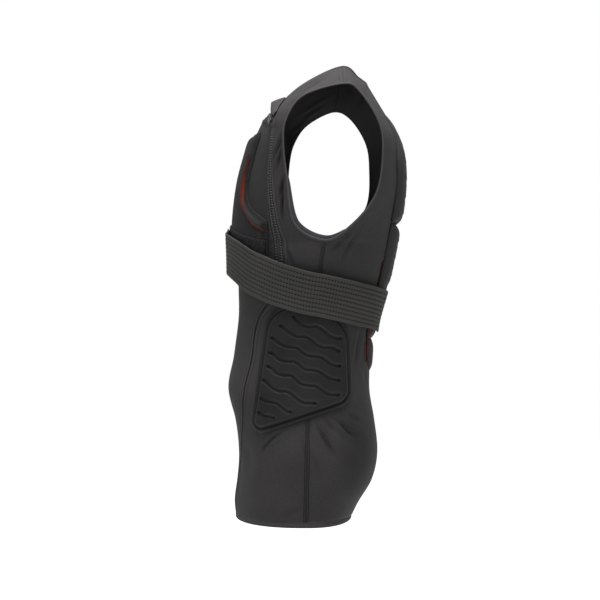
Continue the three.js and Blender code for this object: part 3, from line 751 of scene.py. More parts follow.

# folds of the cloth as seen from the side: route of (y, z), width, depth, darkness of the painted shade
foldRows = (
    (((-41, -484), (-33, -505), (-20, -527), (-6, -550)), 2.6, 2.4, 0.32),
    (((-20, -478), (-2, -496), (14, -510), (32, -522)), 2.8, 2.6, 0.42),
    (((-31, -478), (-19, -498), (-6, -514)), 2.3, 1.4, 0.2),
    (((0, -474), (18, -490), (34, -500)), 2.6, 1.8, 0.3),
    (((-48, -530), (-38, -556), (-30, -574)), 2.2, 1.0, 0.16),
    (((-59, -508), (-56, -530), (-52, -548)), 2.2, 1.1, 0.2),
    (((-80, -503), (-93, -510), (-104, -519), (-114, -533), (-119, -546)), 2.4, 2.2, 0.42),
    (((-90, -629), (-72, -620), (-52, -610)), 3.4, 0.8, 0.1),
    (((-140, -515), (-136, -545), (-132, -580)), 6, 1.8, 0.08),
    (((29, -348), (25, -370), (21, -392), (17, -426)), 2.6, 1.8, 0.28),
    (((40, -348), (37, -374), (31, -408)), 2.4, 1.4, 0.25),
    (((30, -418), (35, -432), (39, -450)), 2.8, 1.6, 0.28),
    (((20, -214), (5, -229), (-8, -241), (-24, -260)), 2.6, 1.4, 0.22),
    (((29, -205), (19, -227), (6, -247), (-6, -280)), 2.6, 1.4, 0.25),
    (((-82, -132), (-86, -160), (-87, -190), (-85.5, -222)), 1.9, 3.4, 0.85),
    (((-80, -76), (-90, -100), (-101, -128)), 2.3, 2.2, 0.75),
    (((-82, -92), (-89, -114), (-95, -142)), 2.1, 2.1, 0.75),
    (((-81, -100), (-85, -114), (-90, -132)), 1.8, 1.6, 0.55),
    (((-84, -142), (-88, -160), (-92, -184)), 2.0, 1.8, 0.65),
    (((-8, -488), (8, -508), (24, -532), (34, -560)), 9, 2.6, 0.2),
    (((-30, -490), (-22, -520), (-8, -556)), 8, 2.2, 0.16),
    (((0, -455), (14, -510), (22, -560), (22, -620)), 30, 0.4, 0.34),
    (((-5, 14), (-40, -5), (-66, -21), (-82, -33)), 2.2, 1.6, 0.32),
    (((-16, 2), (-40, -13), (-56, -24), (-72, -36)), 2.2, 1.5, 0.3),
    (((-44, -19), (-64, -35), (-84, -55)), 2.4, 1.6, 0.28),
    (((-84, -240), (-77, -258), (-71, -278)), 2.8, 1.2, 0.18),
)
foldShape = {
    "steps": 14, "fade": 0.45, "rimHeight": 0.45, "rimAt": 2.1, "rimWidth": 1.1, "shadeWidth": 0.8,
    "sideX": (55, 85),  # how far out the folds come in
    "farShift": (4.0, -6.0), "farShare": 0.6,  # the right side hangs smoother
}


# lift of the folds and the painted shade in them
def foldField(point, side):
    y, z = point[..., 1], point[..., 2]
    lift, tone = np.zeros(y.shape), np.zeros(y.shape)
    for route, width, depth, dark in foldRows:
        line = routeThrough(route, foldShape["steps"])
        if side < 0:
            line = line + np.array(foldShape["farShift"])
            depth, dark = foldShape["farShare"] * depth, foldShape["farShare"] * dark
        away, share, _ = nearLine(y, z, line)
        fade = smooth(share, 0, foldShape["fade"]) * smooth(1 - share, 0, foldShape["fade"])
        rim = hump(away, foldShape["rimAt"] * width, foldShape["rimWidth"] * width)
        lift += depth * fade * (foldShape["rimHeight"] * rim - hump(away, 0, width))
        tone = np.maximum(tone, dark * fade * hump(away, 0, foldShape["shadeWidth"] * width))
    inside = smooth(np.abs(point[..., 0]), *foldShape["sideX"])
    return lift * inside, tone * inside


driftWaves = {
    "size": 0.5, "broad": (23, 31, 37), "broadStart": 1.3,
    "fine": (13, 41, 19), "fineStart": 2, "fineShare": 0.6,
}


# gentle unevenness of stretched cloth
def drift(point):
    x, y, z = (point[..., k] for k in range(3))
    a, b, c = driftWaves["broad"]
    broad = np.sin(x / a + driftWaves["broadStart"]) * np.sin(z / b + y / c)
    a, b, c = driftWaves["fine"]
    fine = np.sin(z / a + x / b + driftWaves["fineStart"]) * np.sin(y / c)
    return driftWaves["size"] * (broad + driftWaves["fineShare"] * fine)


panel = {
    "thickness": 1.6, "hemSeam": 8.2, "neckClear": 0.004, "edgeEase": 5,
    "bibGrid": (240, 60), "frontGrid": (340, 80), "backGrid": (252, 84),  # rows, columns
    "welt": 0.7, "weltAt": 1.6, "weltWidth": 1.7, "weltLight": 0.22, "lightAt": 1.3, "lightWidth": 0.9,
    "grooveShare": 0.9, "grooveAt": 4.6, "grooveWidth": 0.9, "grooveShade": 0.2, "shadeWidth": 0.8,
    "pucker": 0.22, "puckerPitch": 8.5, "puckerReach": 6, "puckerEase": 3, "sway": 2, "swayPitch": 29,
    "bibShade": 0.38, "bibShadeZ": (-330, -255),
}


def panelMesh(name, face, side, v, uFrom, uTo, columns, welts):
    u = uFrom[:, None] + (uTo - uFrom)[:, None] * np.linspace(0, 1, columns + 1)
    point, normal = clothAt(face, u, v[:, None], side)
    run, height = runOf(point, 1), runOf(point, 0)
    lift, tone = foldField(point, side)
    lift = lift + drift(point)
    wear = 0 * lift
    if name == "bibHalf":  # painted shade on the bib above the belt, round the chest pad
        tone = np.maximum(tone, panel["bibShade"] * smooth(point[..., 2], *panel["bibShadeZ"]))
    sway = panel["sway"] * np.sin(height / panel["swayPitch"])
    pucker = panel["pucker"] * np.sin(2 * math.pi * height / panel["puckerPitch"] + sway)
    for edge, kind in welts.items():
        away = run if edge == "inner" else run[:, -1:] - run
        lift = lift * smooth(away, 0, panel["edgeEase"])
        if kind == "welt":
            groove = panel["grooveShare"] * hump(away, panel["grooveAt"], panel["grooveWidth"])
            lift = lift + panel["welt"] * (hump(away, panel["weltAt"], panel["weltWidth"]) - groove)
            # painted shade in the groove beside the welt and a painted highlight on the welt
            shade = panel["grooveShade"] * hump(away, panel["grooveAt"], panel["shadeWidth"])
            tone = np.maximum(tone, shade)
            highlight = panel["weltLight"] * hump(away, panel["lightAt"], panel["lightWidth"])
            wear = np.maximum(wear, highlight)
        near = np.exp(-away / panel["puckerReach"]) * smooth(away, 0, panel["puckerEase"])
        lift = lift + pucker * near
    uv = np.stack([run, height], -1) * mm
    return gridMesh(name, point + normal * lift[..., None], normal, uv, tone=tone, wear=wear)


hemV = form["underarmV"] * panel["hemSeam"] / (form["underarmZ"] - form["hemZ"])
# how far the cloth lips stand off the zipper, from the tight stretch up to the open one
zipLips = {"sewn": 0.1, "closed": 1.7, "open": 4.0, "openZ": (-345, -290)}


def lipGap(v, side):
    z = lerp(form["hemZ"], form["underarmZ"], v / form["underarmV"])
    gap = lerp(zipLips["closed"], zipLips["open"], smooth(z, *zipLips["openZ"]))
    return gap if side > 0 else zipLips["sewn"] + 0 * v


def buildPanels():
    made = {}
    rows, columns = panel["bibGrid"]
    v = np.linspace(hemV, zipTopV - panel["neckClear"], rows)
    halves = []
    for side, kind in ((1, "welt"), (-1, "plain")):
        edge = besideZip(v, -lipGap(v, side))
        halves.append(panelMesh("bibHalf", "front", side, v, 0 * v, edge, columns, {"outer": kind}))
    made["bib"] = addPiece(joined("bibCloth", halves, weldReach), knit, "knit", "front_panel")
    rows, columns = panel["frontGrid"]
    v = np.linspace(hemV, 1, rows)
    for (name, side), kind in zip(sides, ("welt", "plain")):
        inner = besideZip(v, lipGap(v, side))
        welts = {"inner": kind, "outer": "plain"}
        mesh = panelMesh(f"{name}FrontCloth", "front", side, v, inner, 1 + 0 * v, columns, welts)
        made[name] = addPiece(mesh, knit, "knit", f"{name}_front_panel")
    rows, columns = panel["backGrid"]
    v = np.linspace(hemV, 1, rows)
    halves = [
        panelMesh("backHalf", "back", side, v, 0 * v, 1 + 0 * v, columns, {"outer": "plain"})
        for side in (1, -1)
    ]
    made["back"] = addPiece(joined("backCloth", halves, weldReach), knit, "knit", "back_panel")
    for piece in made.values():
        # the inner faces take the painted shade copy of the knit
        thicken(piece, panel["thickness"], shadedInside)


buildPanels()
print("cloth panels made")


# a band or bead along a closed edge: section rows are (out of the cloth, off the edge)
def ringMesh(name, point, normal, edge, section, highlight=0.0):
    loop = np.append(np.arange(len(point)), 0)
    shape = np.array([*section, section[0]], float)
    centre = shape[:-1].mean(0)
    out, off = shape[None, :, :1], shape[None, :, 1:]
    places = point[loop][:, None] + normal[loop][:, None] * out + edge[loop][:, None] * off
    outward = places - (point + normal * centre[0] + edge * centre[1])[loop][:, None]
    return joined(name, [gridMesh(name, places, outward, wear=highlight)], weldReach)


def evened(values, rounds):
    for _ in range(rounds):
        values = (np.roll(values, 1, 0) + 2 * values + np.roll(values, -1, 0)) / 4
    return values


edgeRoll = {
    "out": -0.7, "along": 0.9, "high": 1.45, "wide": 2.3, "sides": 12,
    "highlight": 0.4, "lightAt": 60, "lightWidth": 35,  # painted highlight on one side of the roll, its place and width in degrees round the roll
    "stitchIn": 3.6, "stitchLift": 0.2,
    "armRows": 150, "neckRows": (110, 70),
    "normalU": 0.93,  # where the armhole's outward direction is taken, clear of the seam's end
    "armEven": 24, "even": 6,
}


# points, outward directions and directions off the cloth along a closed edge
def edgeLoop(point, normal):
    normal = unit(evened(normal, edgeRoll["even"]))
    edge = unit(np.cross(np.roll(point, -1, 0) - np.roll(point, 1, 0), normal))
    flip = np.sign(np.sum(edge * (point.mean(0) - point), -1, keepdims=True))
    return point, normal, edge * np.where(flip == 0, 1, flip)


def armholeLoop(side):
    v = np.linspace(form["underarmV"], 1, edgeRoll["armRows"])
    halves = (("front", v), ("back", v[1:-1][::-1]))
    point = np.vstack([clothAt(face, 1.0, at, side)[0] for face, at in halves])
    normal = np.vstack([clothAt(face, edgeRoll["normalU"], at, side)[1] for face, at in halves])
    return edgeLoop(point, evened(normal, edgeRoll["armEven"]))


def neckLoop():
    front, back = (
        np.linspace(faces[name]["neckV"], 1, rows) for name, rows in zip(faces, edgeRoll["neckRows"])
    )
    parts = [
        clothAt("front", 0.0, front, 1), clothAt("back", 0.0, back[:-1][::-1], 1),
        clothAt("back", 0.0, back[1:], -1), clothAt("front", 0.0, front[1:-1][::-1], -1),
    ]
    return edgeLoop(*(np.vstack([part[k] for part in parts]) for k in (0, 1)))


def addEdge(name, nodeName, loop, highlight=0.0):
    point, normal, edge = loop
    turn = np.arange(edgeRoll["sides"] + 1) / edgeRoll["sides"] * 360
    # painted highlight along the lit side of the roll
    shine = highlight * hump(turn % 360, edgeRoll["lightAt"], edgeRoll["lightWidth"])
    angle = np.radians(turn[:-1])
    section = np.stack([
        edgeRoll["out"] + edgeRoll["high"] * np.cos(angle),
        edgeRoll["along"] + edgeRoll["wide"] * np.sin(angle),
    ], -1)
    addPiece(ringMesh(name, point, normal, edge, section, shine), edging, "edging", nodeName)
    sewAlong(point - edge * edgeRoll["stitchIn"], normal, edgeRoll["stitchLift"])


for name, side in sides:
    addEdge(f"{name}ArmholeEdge", f"{name}_armhole_binding", armholeLoop(side), edgeRoll["highlight"])
addEdge("neckEdge", "neck_binding", neckLoop())

facing = {
    "front": 52, "back": 22,  # rows of the armhole's edge on each side of the underarm
    "width": 7.5, "taper": 0.6, "start": 1.2, "sink": 1.4, "inward": 1.8, "columns": 6, "thickness": 0.8,
}


# turned-in strip that shows inside the lower front of each armhole
def buildFacings():
    for name, side in sides:
        rows = np.concatenate([np.arange(-facing["back"], 0), np.arange(facing["front"])])
        point, normal, edge = (part[rows][:, None] for part in armholeLoop(side))
        share = np.linspace(0, 1, len(rows))[:, None]
        across = np.linspace(0, 1, facing["columns"] + 1)[None, :]
        wide = facing["width"] * np.sin(math.pi * share) ** facing["taper"]
        off = facing["start"] + wide * across
        sink = facing["sink"] + facing["inward"] * across ** 2
        places = point + edge * off[..., None] - normal * sink[..., None]
        piece = addPiece(gridMesh(f"{name}ArmholeFacing", places, normal), facingKnit, "edging")
        thicken(piece, facing["thickness"])


buildFacings()

sideSeam = {
    "runs": ((-632, -480), (-334, -240.5)),  # below and above the rib pad
    "half": 3.3, "rise": 1.0, "fall": 0.6, "shade": 0.75, "columns": 8, "rowStep": 1.5, "thickness": 0.7,
    "stitchAt": 0.62, "stitchSink": 0.05, "shoulderV": 0.993, "shoulderU": (0.02, 0.985),
    "shoulderRows": 90, "shoulderLift": 0.15,
}


def buildSeams():
    for name, side in sides:
        strips = []
        for low, high in sideSeam["runs"]:
            z = np.linspace(low, high, int((high - low) / sideSeam["rowStep"]))
            middle = sideAt(z)[..., 1]
            share = np.linspace(-1, 1, sideSeam["columns"] + 1)[None, :]
            point, normal = onSide(middle[:, None] + sideSeam["half"] * share, z[:, None], side)
            rise = sideSeam["rise"] * (1 - sideSeam["fall"] * share ** 4)
            # painted shade along both edges of the seam strip
            shade = sideSeam["shade"] * np.abs(share) ** 5
            strips.append(gridMesh("seamRun", point + normal * rise[..., None], normal, tone=shade))
            for way in (-1, 1):
                line = onSide(middle + way * sideSeam["stitchAt"] * sideSeam["half"], z, side)
                sewAlong(*line, sideSeam["rise"] - sideSeam["stitchSink"])
        piece = addPiece(joined(f"{name}SideSeam", strips), seamTape, "knit")
        thicken(piece, sideSeam["thickness"])
        u = np.linspace(*sideSeam["shoulderU"], sideSeam["shoulderRows"])
        for face in ("front", "back"):
            sewAlong(*clothAt(face, u, sideSeam["shoulderV"], side), sideSeam["shoulderLift"])


buildSeams()

hemBand = {
    "columns": 360, "stitchUp": 6.6, "stitchOut": 0.65,
    "section": (  # out of the cloth, up from the hem
        (0.4, 0), (0.9, 0.6), (1.15, 2.5), (1.1, 5), (0.9, 6.2), (0.45, 6.6), (0.9, 7), (0.9, 8.4),
        (0.3, 9.2), (-2.5, 9.2), (-2.5, 0.4), (-1.9, 0),
    ),
}


def buildHem():
    quarter = np.linspace(0, 4, hemBand["columns"] + 1)[:-1]
    point, normal = around(np.where(quarter > 2, quarter - 4, quarter), form["hemZ"])
    up = np.broadcast_to((0.0, 0.0, 1.0), point.shape)
    mesh = ringMesh("hemBand", point, normal, up, hemBand["section"])
    addPiece(mesh, edging, "edging", "hem_band")
    sewAlong(point + up * hemBand["stitchUp"], normal, hemBand["stitchOut"])


buildHem()
print("edges and hem made")


# flat outline with round corners, as points
def roundedOutline(corners, step=2.0):
    spots = np.array([corner[:2] for corner in corners], float)
    points = []
    for i, (_, _, radius) in enumerate(corners):
        here, before, after = spots[i], spots[i - 1], spots[(i + 1) % len(corners)]
        back, ahead = unit(before - here), unit(after - here)
        half = math.acos(np.clip(back @ ahead, -1, 1)) / 2
        centre = here + unit(back + ahead) * radius / math.sin(half)
        start, end = (here + way * radius / math.tan(half) - centre for way in (back, ahead))
        first = math.atan2(start[1], start[0])
        sweep = (math.atan2(end[1], end[0]) - first + math.pi) % (2 * math.pi) - math.pi
        count = max(2, math.ceil(abs(sweep) * radius / step))
        for k in range(count + 1):
            angle = first + sweep * k / count
            points.append(centre + radius * np.array((math.cos(angle), math.sin(angle))))
    return np.array(points)


def mirroredCorners(corners):
    return [*corners, *((-x, z, radius) for x, z, radius in reversed(corners))]


# a flat outline cut into cells and given two layers: x and z of each vertex, and which are on top
def cutPad(name, outline, cell):
    bm = bmesh.new()
    bm.faces.new([bm.verts.new((x, z, 0)) for x, z in outline])
    for axis in (0, 1):
        low, high = outline[:, axis].min(), outline[:, axis].max()
        plane = Vector((1 - axis, axis, 0))
        for at in np.linspace(low, high, max(2, round((high - low) / cell)) + 1)[1:-1]:
            everything = bm.verts[:] + bm.edges[:] + bm.faces[:]
            bmesh.ops.bisect_plane(
                bm, geom=everything, dist=0.02, plane_co=plane * at, plane_no=plane,
            )
    bmesh.ops.solidify(bm, geom=bm.faces[:], thickness=1)
    mesh = meshFrom(name, bm)
    x, z, layer = readPoints(mesh).T
    return mesh, x, z, layer > (layer.min() + layer.max()) / 2


def insideOf(x, z, outline):
    return nearLine(x, z, np.vstack([outline, outline[:1]]))[0]


# strongest of some bands that follow the outline: rows are (how far inside, width, strength)
def bandsAt(inside, rows):
    return np.max([strength * hump(inside, at, width) for at, width, strength in rows], axis=0)


def finishPad(mesh, places, uv, tone=0.0, wear=0.0):
    mesh.vertices.foreach_set("co", (places * mm).ravel())
    paintCut(mesh, uv * mm)
    tone, wear = (np.broadcast_to(value, len(places)) for value in (tone, wear))
    paintPoints(mesh, tone=tone, wear=wear)
    bm = bmesh.new()
    bm.from_mesh(mesh)
    bmesh.ops.recalc_face_normals(bm, faces=bm.faces[:])
    bm.to_mesh(mesh)
    bm.free()


groove = {  # sizes as shares of a channel's half width
    "floor": 0.45, "lip": 1.25, "lean": 0.2, "rimAt": 1.45, "rimWidth": 0.4, "rimHeight": 0.4,
    # the shade keys are painted shade at the channel's ends, along its side and on its floor
    "endReach": 0.03, "endDepth": 0.6, "endShade": 0.6,
    "shade": 0.4, "shadeAt": -0.7, "shadeWidth": 0.36, "floorShade": 0.22, "shadeEase": (0.6, 1.1),
    # painted highlight along the channel's lip
    "wear": 0.32, "wearAt": 1.25, "wearWidth": 0.3, "wearEase": (0.15, 0.5), "trim": 2,
}


# channels along a set of waves: change of height, painted shade and a painted highlight along the lip
def channels(x, z, waves, depth, half):
    lift, tone, wear = (np.zeros(x.shape) for _ in range(3))
    for wave in waves:
        line = routeThrough(wave, 4 * len(wave))[groove["trim"]:-groove["trim"]]
        away, share, side = nearLine(x, z, line)
        signed = away * side / half
        away = away / half
        hollow = 1 - smooth(away, groove["floor"], groove["lip"])
        ends = np.maximum(hump(share, 0, groove["endReach"]), hump(share, 1, groove["endReach"]))
        ends = ends * (away < 1)
        lift -= depth * hollow * (1 - groove["lean"] * np.clip(signed, -1, 1))
        lift += groove["rimHeight"] * hump(signed, groove["rimAt"], groove["rimWidth"])
        lift -= groove["endDepth"] * ends
        tone = np.max([
            tone, groove["shade"] * hump(signed, groove["shadeAt"], groove["shadeWidth"]),
            groove["floorShade"] * (1 - smooth(away, *groove["shadeEase"])), groove["endShade"] * ends,
        ], axis=0)
        highlight = groove["wear"] * hump(signed, groove["wearAt"], groove["wearWidth"])
        wear = np.maximum(wear, highlight * smooth(share, *groove["wearEase"]))
    return lift, tone, wear


ribPad = {
    "corners": ((-106, -322, 44), (9, -328, 58), (12.5, -467, 26), (-134, -517, 17)),
    "cell": 1.15,
    "base": 0.3,
    "profile": (  # how far inside the outline, height
        (0, 0.5), (0.7, 2.1), (1.6, 3.1), (2.8, 3.5), (4.6, 3.5), (5.6, 3.1), (6.5, 2.2), (7.2, 2.1),
        (8, 3.3), (8.8, 5.0), (9.8, 6.4), (11, 7.1), (12.5, 7.4), (16, 7.5), (60, 8.1),
    ),
    # painted shade bands, then painted highlight bands, along the outline: how far inside, width, strength
    "shade": ((6.9, 0.8, 0.45), (0, 0.6, 0.6)),
    "wear": ((9.8, 0.9, 0.14), (2.0, 0.8, 0.1)),
    "depth": 1.5,
    "half": 2.5,
    "waves": (
        ((-71, -340), (-65, -347), (-58, -355), (-48, -358), (-38, -357), (-30, -362), (-21, -370),
         (-11, -374), (-5, -373)),
        ((-89, -354), (-81, -361), (-72, -368), (-63, -372), (-54, -372), (-46, -376), (-37, -384),
         (-29, -387), (-19, -387), (-13, -390), (-6, -394)),
        ((-101, -371), (-93, -378), (-85, -384), (-75, -387), (-65, -388), (-58, -394), (-50, -399),
         (-40, -400), (-31, -402), (-23, -409), (-15, -413), (-1, -414)),
        ((-103, -393), (-95, -399), (-87, -406), (-76, -408), (-68, -408), (-61, -413), (-54, -419),
         (-43, -420), (-34, -423), (-26, -429), (-17, -433), (-2, -435)),
        ((-107, -413), (-98, -419), (-92, -425), (-83, -428), (-73, -428), (-67, -433), (-59, -440),
         (-48, -442), (-39, -443), (-31, -449), (-23, -454), (-15, -455), (-6, -455)),
        ((-113, -432), (-105, -439), (-97, -446), (-88, -450), (-80, -450), (-72, -454), (-64, -461),
         (-55, -466), (-46, -466), (-36, -467)),
        ((-115, -458), (-108, -463), (-98, -465), (-91, -467), (-84, -473), (-77, -478), (-72, -478)),
        ((-117, -477), (-110, -483), (-101, -485), (-92, -488)),
    ),
}


def buildRibPads():
    outline = roundedOutline(ribPad["corners"])
    for name, side in sides:
        mesh, y, z, top = cutPad(f"{name}RibPad", outline, ribPad["cell"])
        inside = insideOf(y, z, outline)
        lift, tone, wear = channels(y, z, ribPad["waves"], ribPad["depth"], ribPad["half"])
        # painted shade and painted highlights from the channels and the outline bands
        tone = np.maximum(tone, bandsAt(inside, ribPad["shade"]))
        wear = np.maximum(wear, bandsAt(inside, ribPad["wear"]))
        point, normal = onSide(y, z, side)
        out = ribPad["base"] + np.where(top, tableValue(ribPad["profile"], inside) + lift, 0)
        finishPad(mesh, point + normal * out[:, None], np.stack([y, z], -1), tone, wear)
        addPiece(mesh, foam, "foam", f"{name}_rib_pad")


buildRibPads()
print("rib pads made")

chestPad = {
    "corners": ((68, -74, 16), (79, -172, 55), (136.5, -209, 9), (134, -286, 16)),
    "cell": 2.2,
    "base": 0.3,
    "profile": (
        (0, 0.6), (0.9, 2.3), (2, 3.2), (3.2, 3.3), (4, 2.8), (4.8, 3.1), (6, 5.0), (8, 7.0), (10, 8.0),
        (14, 8.5), (90, 8.7),
    ),
    # painted shade bands along the outline and a painted highlight band on the pad's rounded top edge: how
    # far inside, width, strength
    "shade": ((4.1, 0.9, 0.75), (0, 0.8, 0.7)),
    "tabX": (112, 128), "tabShade": 0.3,  # less painted shade on the rim at the pad's outer ends
    "wear": ((9, 1.5, 0.08),),
    "weaveTurn": 30,  # how soon the weave follows the body round from the middle
}
chestOutline = roundedOutline(mirroredCorners(chestPad["corners"]))


def chestHeight(x, z):
    return tableValue(chestPad["profile"], insideOf(x, z, chestOutline))


def buildChestPad():
    mesh, x, z, top = cutPad("chestPad", chestOutline, chestPad["cell"])
    inside = insideOf(x, z, chestOutline)
    # painted shade round the rim, less of it at the outer ends
    paler = lerp(1, chestPad["tabShade"], smooth(np.abs(x), *chestPad["tabX"]))
    tone = bandsAt(inside, chestPad["shade"]) * paler
    point, normal = onFace("front", x, z)
    out = chestPad["base"] + np.where(top, chestHeight(x, z), 0)
    across = x - np.tanh(x / chestPad["weaveTurn"]) * point[:, 1]
    uv = np.stack([across, z], -1)
    finishPad(mesh, point + normal * out[:, None], uv, tone, bandsAt(inside, chestPad["wear"]))
    addPiece(mesh, coverKnit, "foam", "chest_pad")


buildChestPad()

backPlates = {
    "upper": ((60, -46, 26), (97, -122, 60), (91, -208.3, 4)),
    "middle": ((91, -209.7, 4), (75, -376.2, 4)),
    "lower": ((74, -377.8, 4), (56, -424, 26)),
    "cell": 2.3,
    "base": 0.3,
    "profile": (
        (0, 0.4), (0.8, 1.3), (2, 2.6), (4, 4.4), (6.5, 6.1), (9.5, 7.4), (13, 8.3), (20, 8.8), (100, 9.0),
    ),
    "belt": (-336, 36, 14, 0.72),  # middle, half width, ease and share kept under the belt
    "taper": (-125, -45, 0.3),  # from, to and share kept at the tip
    "lowerTop": -377, "lowerKeep": 0.5,
    # painted shade along the outline: how far inside, width, strength
    "shade": ((0, 0.8, 0.5),),
    "spine": (10, 26),  # no channels along the middle
    # painted shade in the channels and a painted highlight on their lips
    "depth": 1.4, "half": 3.0, "channelShade": 0.6, "channelHighlight": 0.3,
    "waveStep": 24, "waveClear": 17, "waveEnds": 19, "sideClear": 20, "wavePoints": 15,
    "bow": 7, "ripple": 2.2, "ripplePitch": 9,
}


# share of the full height at a level
def plateLevel(z):
    middle, half, ease, keep = backPlates["belt"]
    channel = lerp(keep, 1, smooth(np.abs(z - middle) - half, 0, ease))
    low, high, tip = backPlates["taper"]
    level = channel * lerp(1, tip, smooth(z, low, high))
    return np.where(z < backPlates["lowerTop"], backPlates["lowerKeep"], level)


# channels across the back plates, kept clear of their borders
def plateWaves(outline):
    waves = []
    low, high = outline[:, 1].min(), outline[:, 1].max()
    count = max(1, int((high - low - 2 * backPlates["waveClear"]) // backPlates["waveStep"]))
    edges = list(zip(outline, np.roll(outline, -1, 0)))
    for k in range(count + 1):
        z = lerp(low + backPlates["waveEnds"], high - backPlates["waveEnds"], k / count)
        crossed = [(p, q) for p, q in edges if (p[1] - z) * (q[1] - z) < 0]
        width = min(abs(lerp(p[0], q[0], (z - p[1]) / (q[1] - p[1]))) for p, q in crossed)
        reach = width - backPlates["sideClear"]
        x = np.linspace(-reach, reach, backPlates["wavePoints"])
        bow = backPlates["bow"] * np.cos(x / reach * math.pi / 2)
        ripple = backPlates["ripple"] * np.sin(x / backPlates["ripplePitch"])
        waves.append(np.stack([x, z - bow + ripple], -1))
    return waves


def buildBackPlates():
    for name in ("upper", "middle", "lower"):
        outline = roundedOutline(mirroredCorners(backPlates[name]))
        mesh, x, z, top = cutPad(f"{name}BackPlate", outline, backPlates["cell"])
        inside = insideOf(x, z, outline)
        cuts = channels(x, z, plateWaves(outline), backPlates["depth"], backPlates["half"])
        lift, tone, wear = (smooth(np.abs(x), *backPlates["spine"]) * part for part in cuts)
        # painted shade in the channels and along the outline, painted highlight on the channel lips
        tone = np.maximum(backPlates["channelShade"] * tone, bandsAt(inside, backPlates["shade"]))
        wear = backPlates["channelHighlight"] * wear
        height = (tableValue(backPlates["profile"], inside) + lift) * plateLevel(z)
        point, normal = onFace("back", x, z)
        out = backPlates["base"] + np.where(top, height, 0)
        finishPad(mesh, point + normal * out[:, None], np.stack([x, z], -1), tone, wear)
        addPiece(mesh, plateCover, "foam", f"back_plate_{name}")


buildBackPlates()
print("chest pad and back plates made")

# dark is the colour of the painted shade in the rib valleys and in the holes, highlight the colour of the
# painted highlight on the edges
beltLook = {
    "low": (0.0150, 0.0148, 0.0142), "high": (0.0262, 0.0258, 0.0248), "stops": (0.25, 0.8),
    "dark": (0.0016, 0.0016, 0.0016), "highlight": (0.055, 0.055, 0.052),
    "roughness": 0.85, "specular": 0.04,
    "yarn": {"period": 0.0011, "turn": 90, "stray": 0.5}, "yarnShare": 0.25,
    "cross": {"period": 0.0009, "stray": 0.4}, "crossShare": 0.2,
    "fuzz": {"scale": 800, "detail": 1}, "fuzzShare": 0.3,
    "cloud": {"scale": 22, "detail": 2}, "cloudShare": 0.3,
    "dotStops": ((0.42, (0, 0, 0)), (0.62, (1, 1, 1))), "bump": (0.0003, 0.4),
}
belt = {
    "run": (  # quarter, height of the middle, lift of the inner face
        (-0.3, -240, 15.4), (0, -249, 15.8), (0.2, -255, 15.4), (0.35, -264, 14.4), (0.5, -278, 13.4),
        (0.63, -288, 12.6), (0.75, -297, 10.6), (1, -311.5, 9.4), (1.3, -322.5, 8.2), (1.6, -330, 8.3),
        (2, -337, 8.2),
    ),
    "width": 60, "thickness": 2.2, "wall": 1.7,
    "over": -0.24, "under": -0.12,  # quarters at which the outer and the inner end lie
    "layerDrop": 2.7, "dropFrom": 0.15, "dropTo": 0.6,
    "slopeStep": 0.02, "quarterLength": 220,  # for the tilt of the band
    # painted shade in the valleys between ribs and a painted highlight along both edges
    "ribs": 10, "ribRows": 6, "ribHeight": 0.45, "ribRound": 0.7, "ribShade": 0.28,
    "dotPitch": 4.4, "dotColumns": 3, "dotDepth": 0.5, "edgeHighlight": 0.12, "edgeWidth": 1.2,
}


def beltFinish(look):
    material, tree, shader = newFinish("wovenElastic", look["roughness"], look["specular"])
    yarn, cross = (stripesOf(tree, **look[k]) for k in ("yarn", "cross"))
    fuzz, cloud = (noiseOf(tree, **look[k]) for k in ("fuzz", "cloud"))
    weave = summed(tree, (yarn, look["yarnShare"]), (cross, look["crossShare"]))
    grain = summed(tree, (fuzz, look["fuzzShare"]), (cloud, look["cloudShare"]))
    ribbed = withPaintedLight(tree, shaded(tree, mathNode(tree, "ADD", weave, grain), look), look)
    # painted shade in the holes along the rib valleys
    gaps = mathNode(tree, "SUBTRACT", 1.0, stripesOf(tree, belt["dotPitch"] * mm))
    holes = mathNode(tree, "MULTIPLY", gaps, attributeOf(tree, "dots"))
    pierced = mixColour(tree, rampOf(tree, holes, look["dotStops"]), ribbed, (*look["dark"], 1))
    feed(tree, shader, colour=pierced, normal=bumpOf(tree, weave, *look["bump"]))
    return material


beltAt = tableCurve(belt["run"])


# places on the belt's inner face: along in quarters from the under end, across from -0.5 to 0.5
def beltPlace(along, across):
    left = along > 2
    quarter = np.where(left, 4 - along, along)
    run, step = beltAt(quarter), belt["slopeStep"]
    drop = belt["layerDrop"] * (1 - smooth(quarter, belt["dropFrom"], belt["dropTo"]))
    slope = (beltAt(quarter + step)[..., 0] - beltAt(quarter - step)[..., 0]) / (2 * step)
    z = run[..., 0] + across * belt["width"] * np.hypot(1, slope / belt["quarterLength"])
    point, normal = around(np.where(left, quarter, -quarter), z)
    return point + normal * (run[..., 1] - np.where(left, 0, drop))[..., None], normal


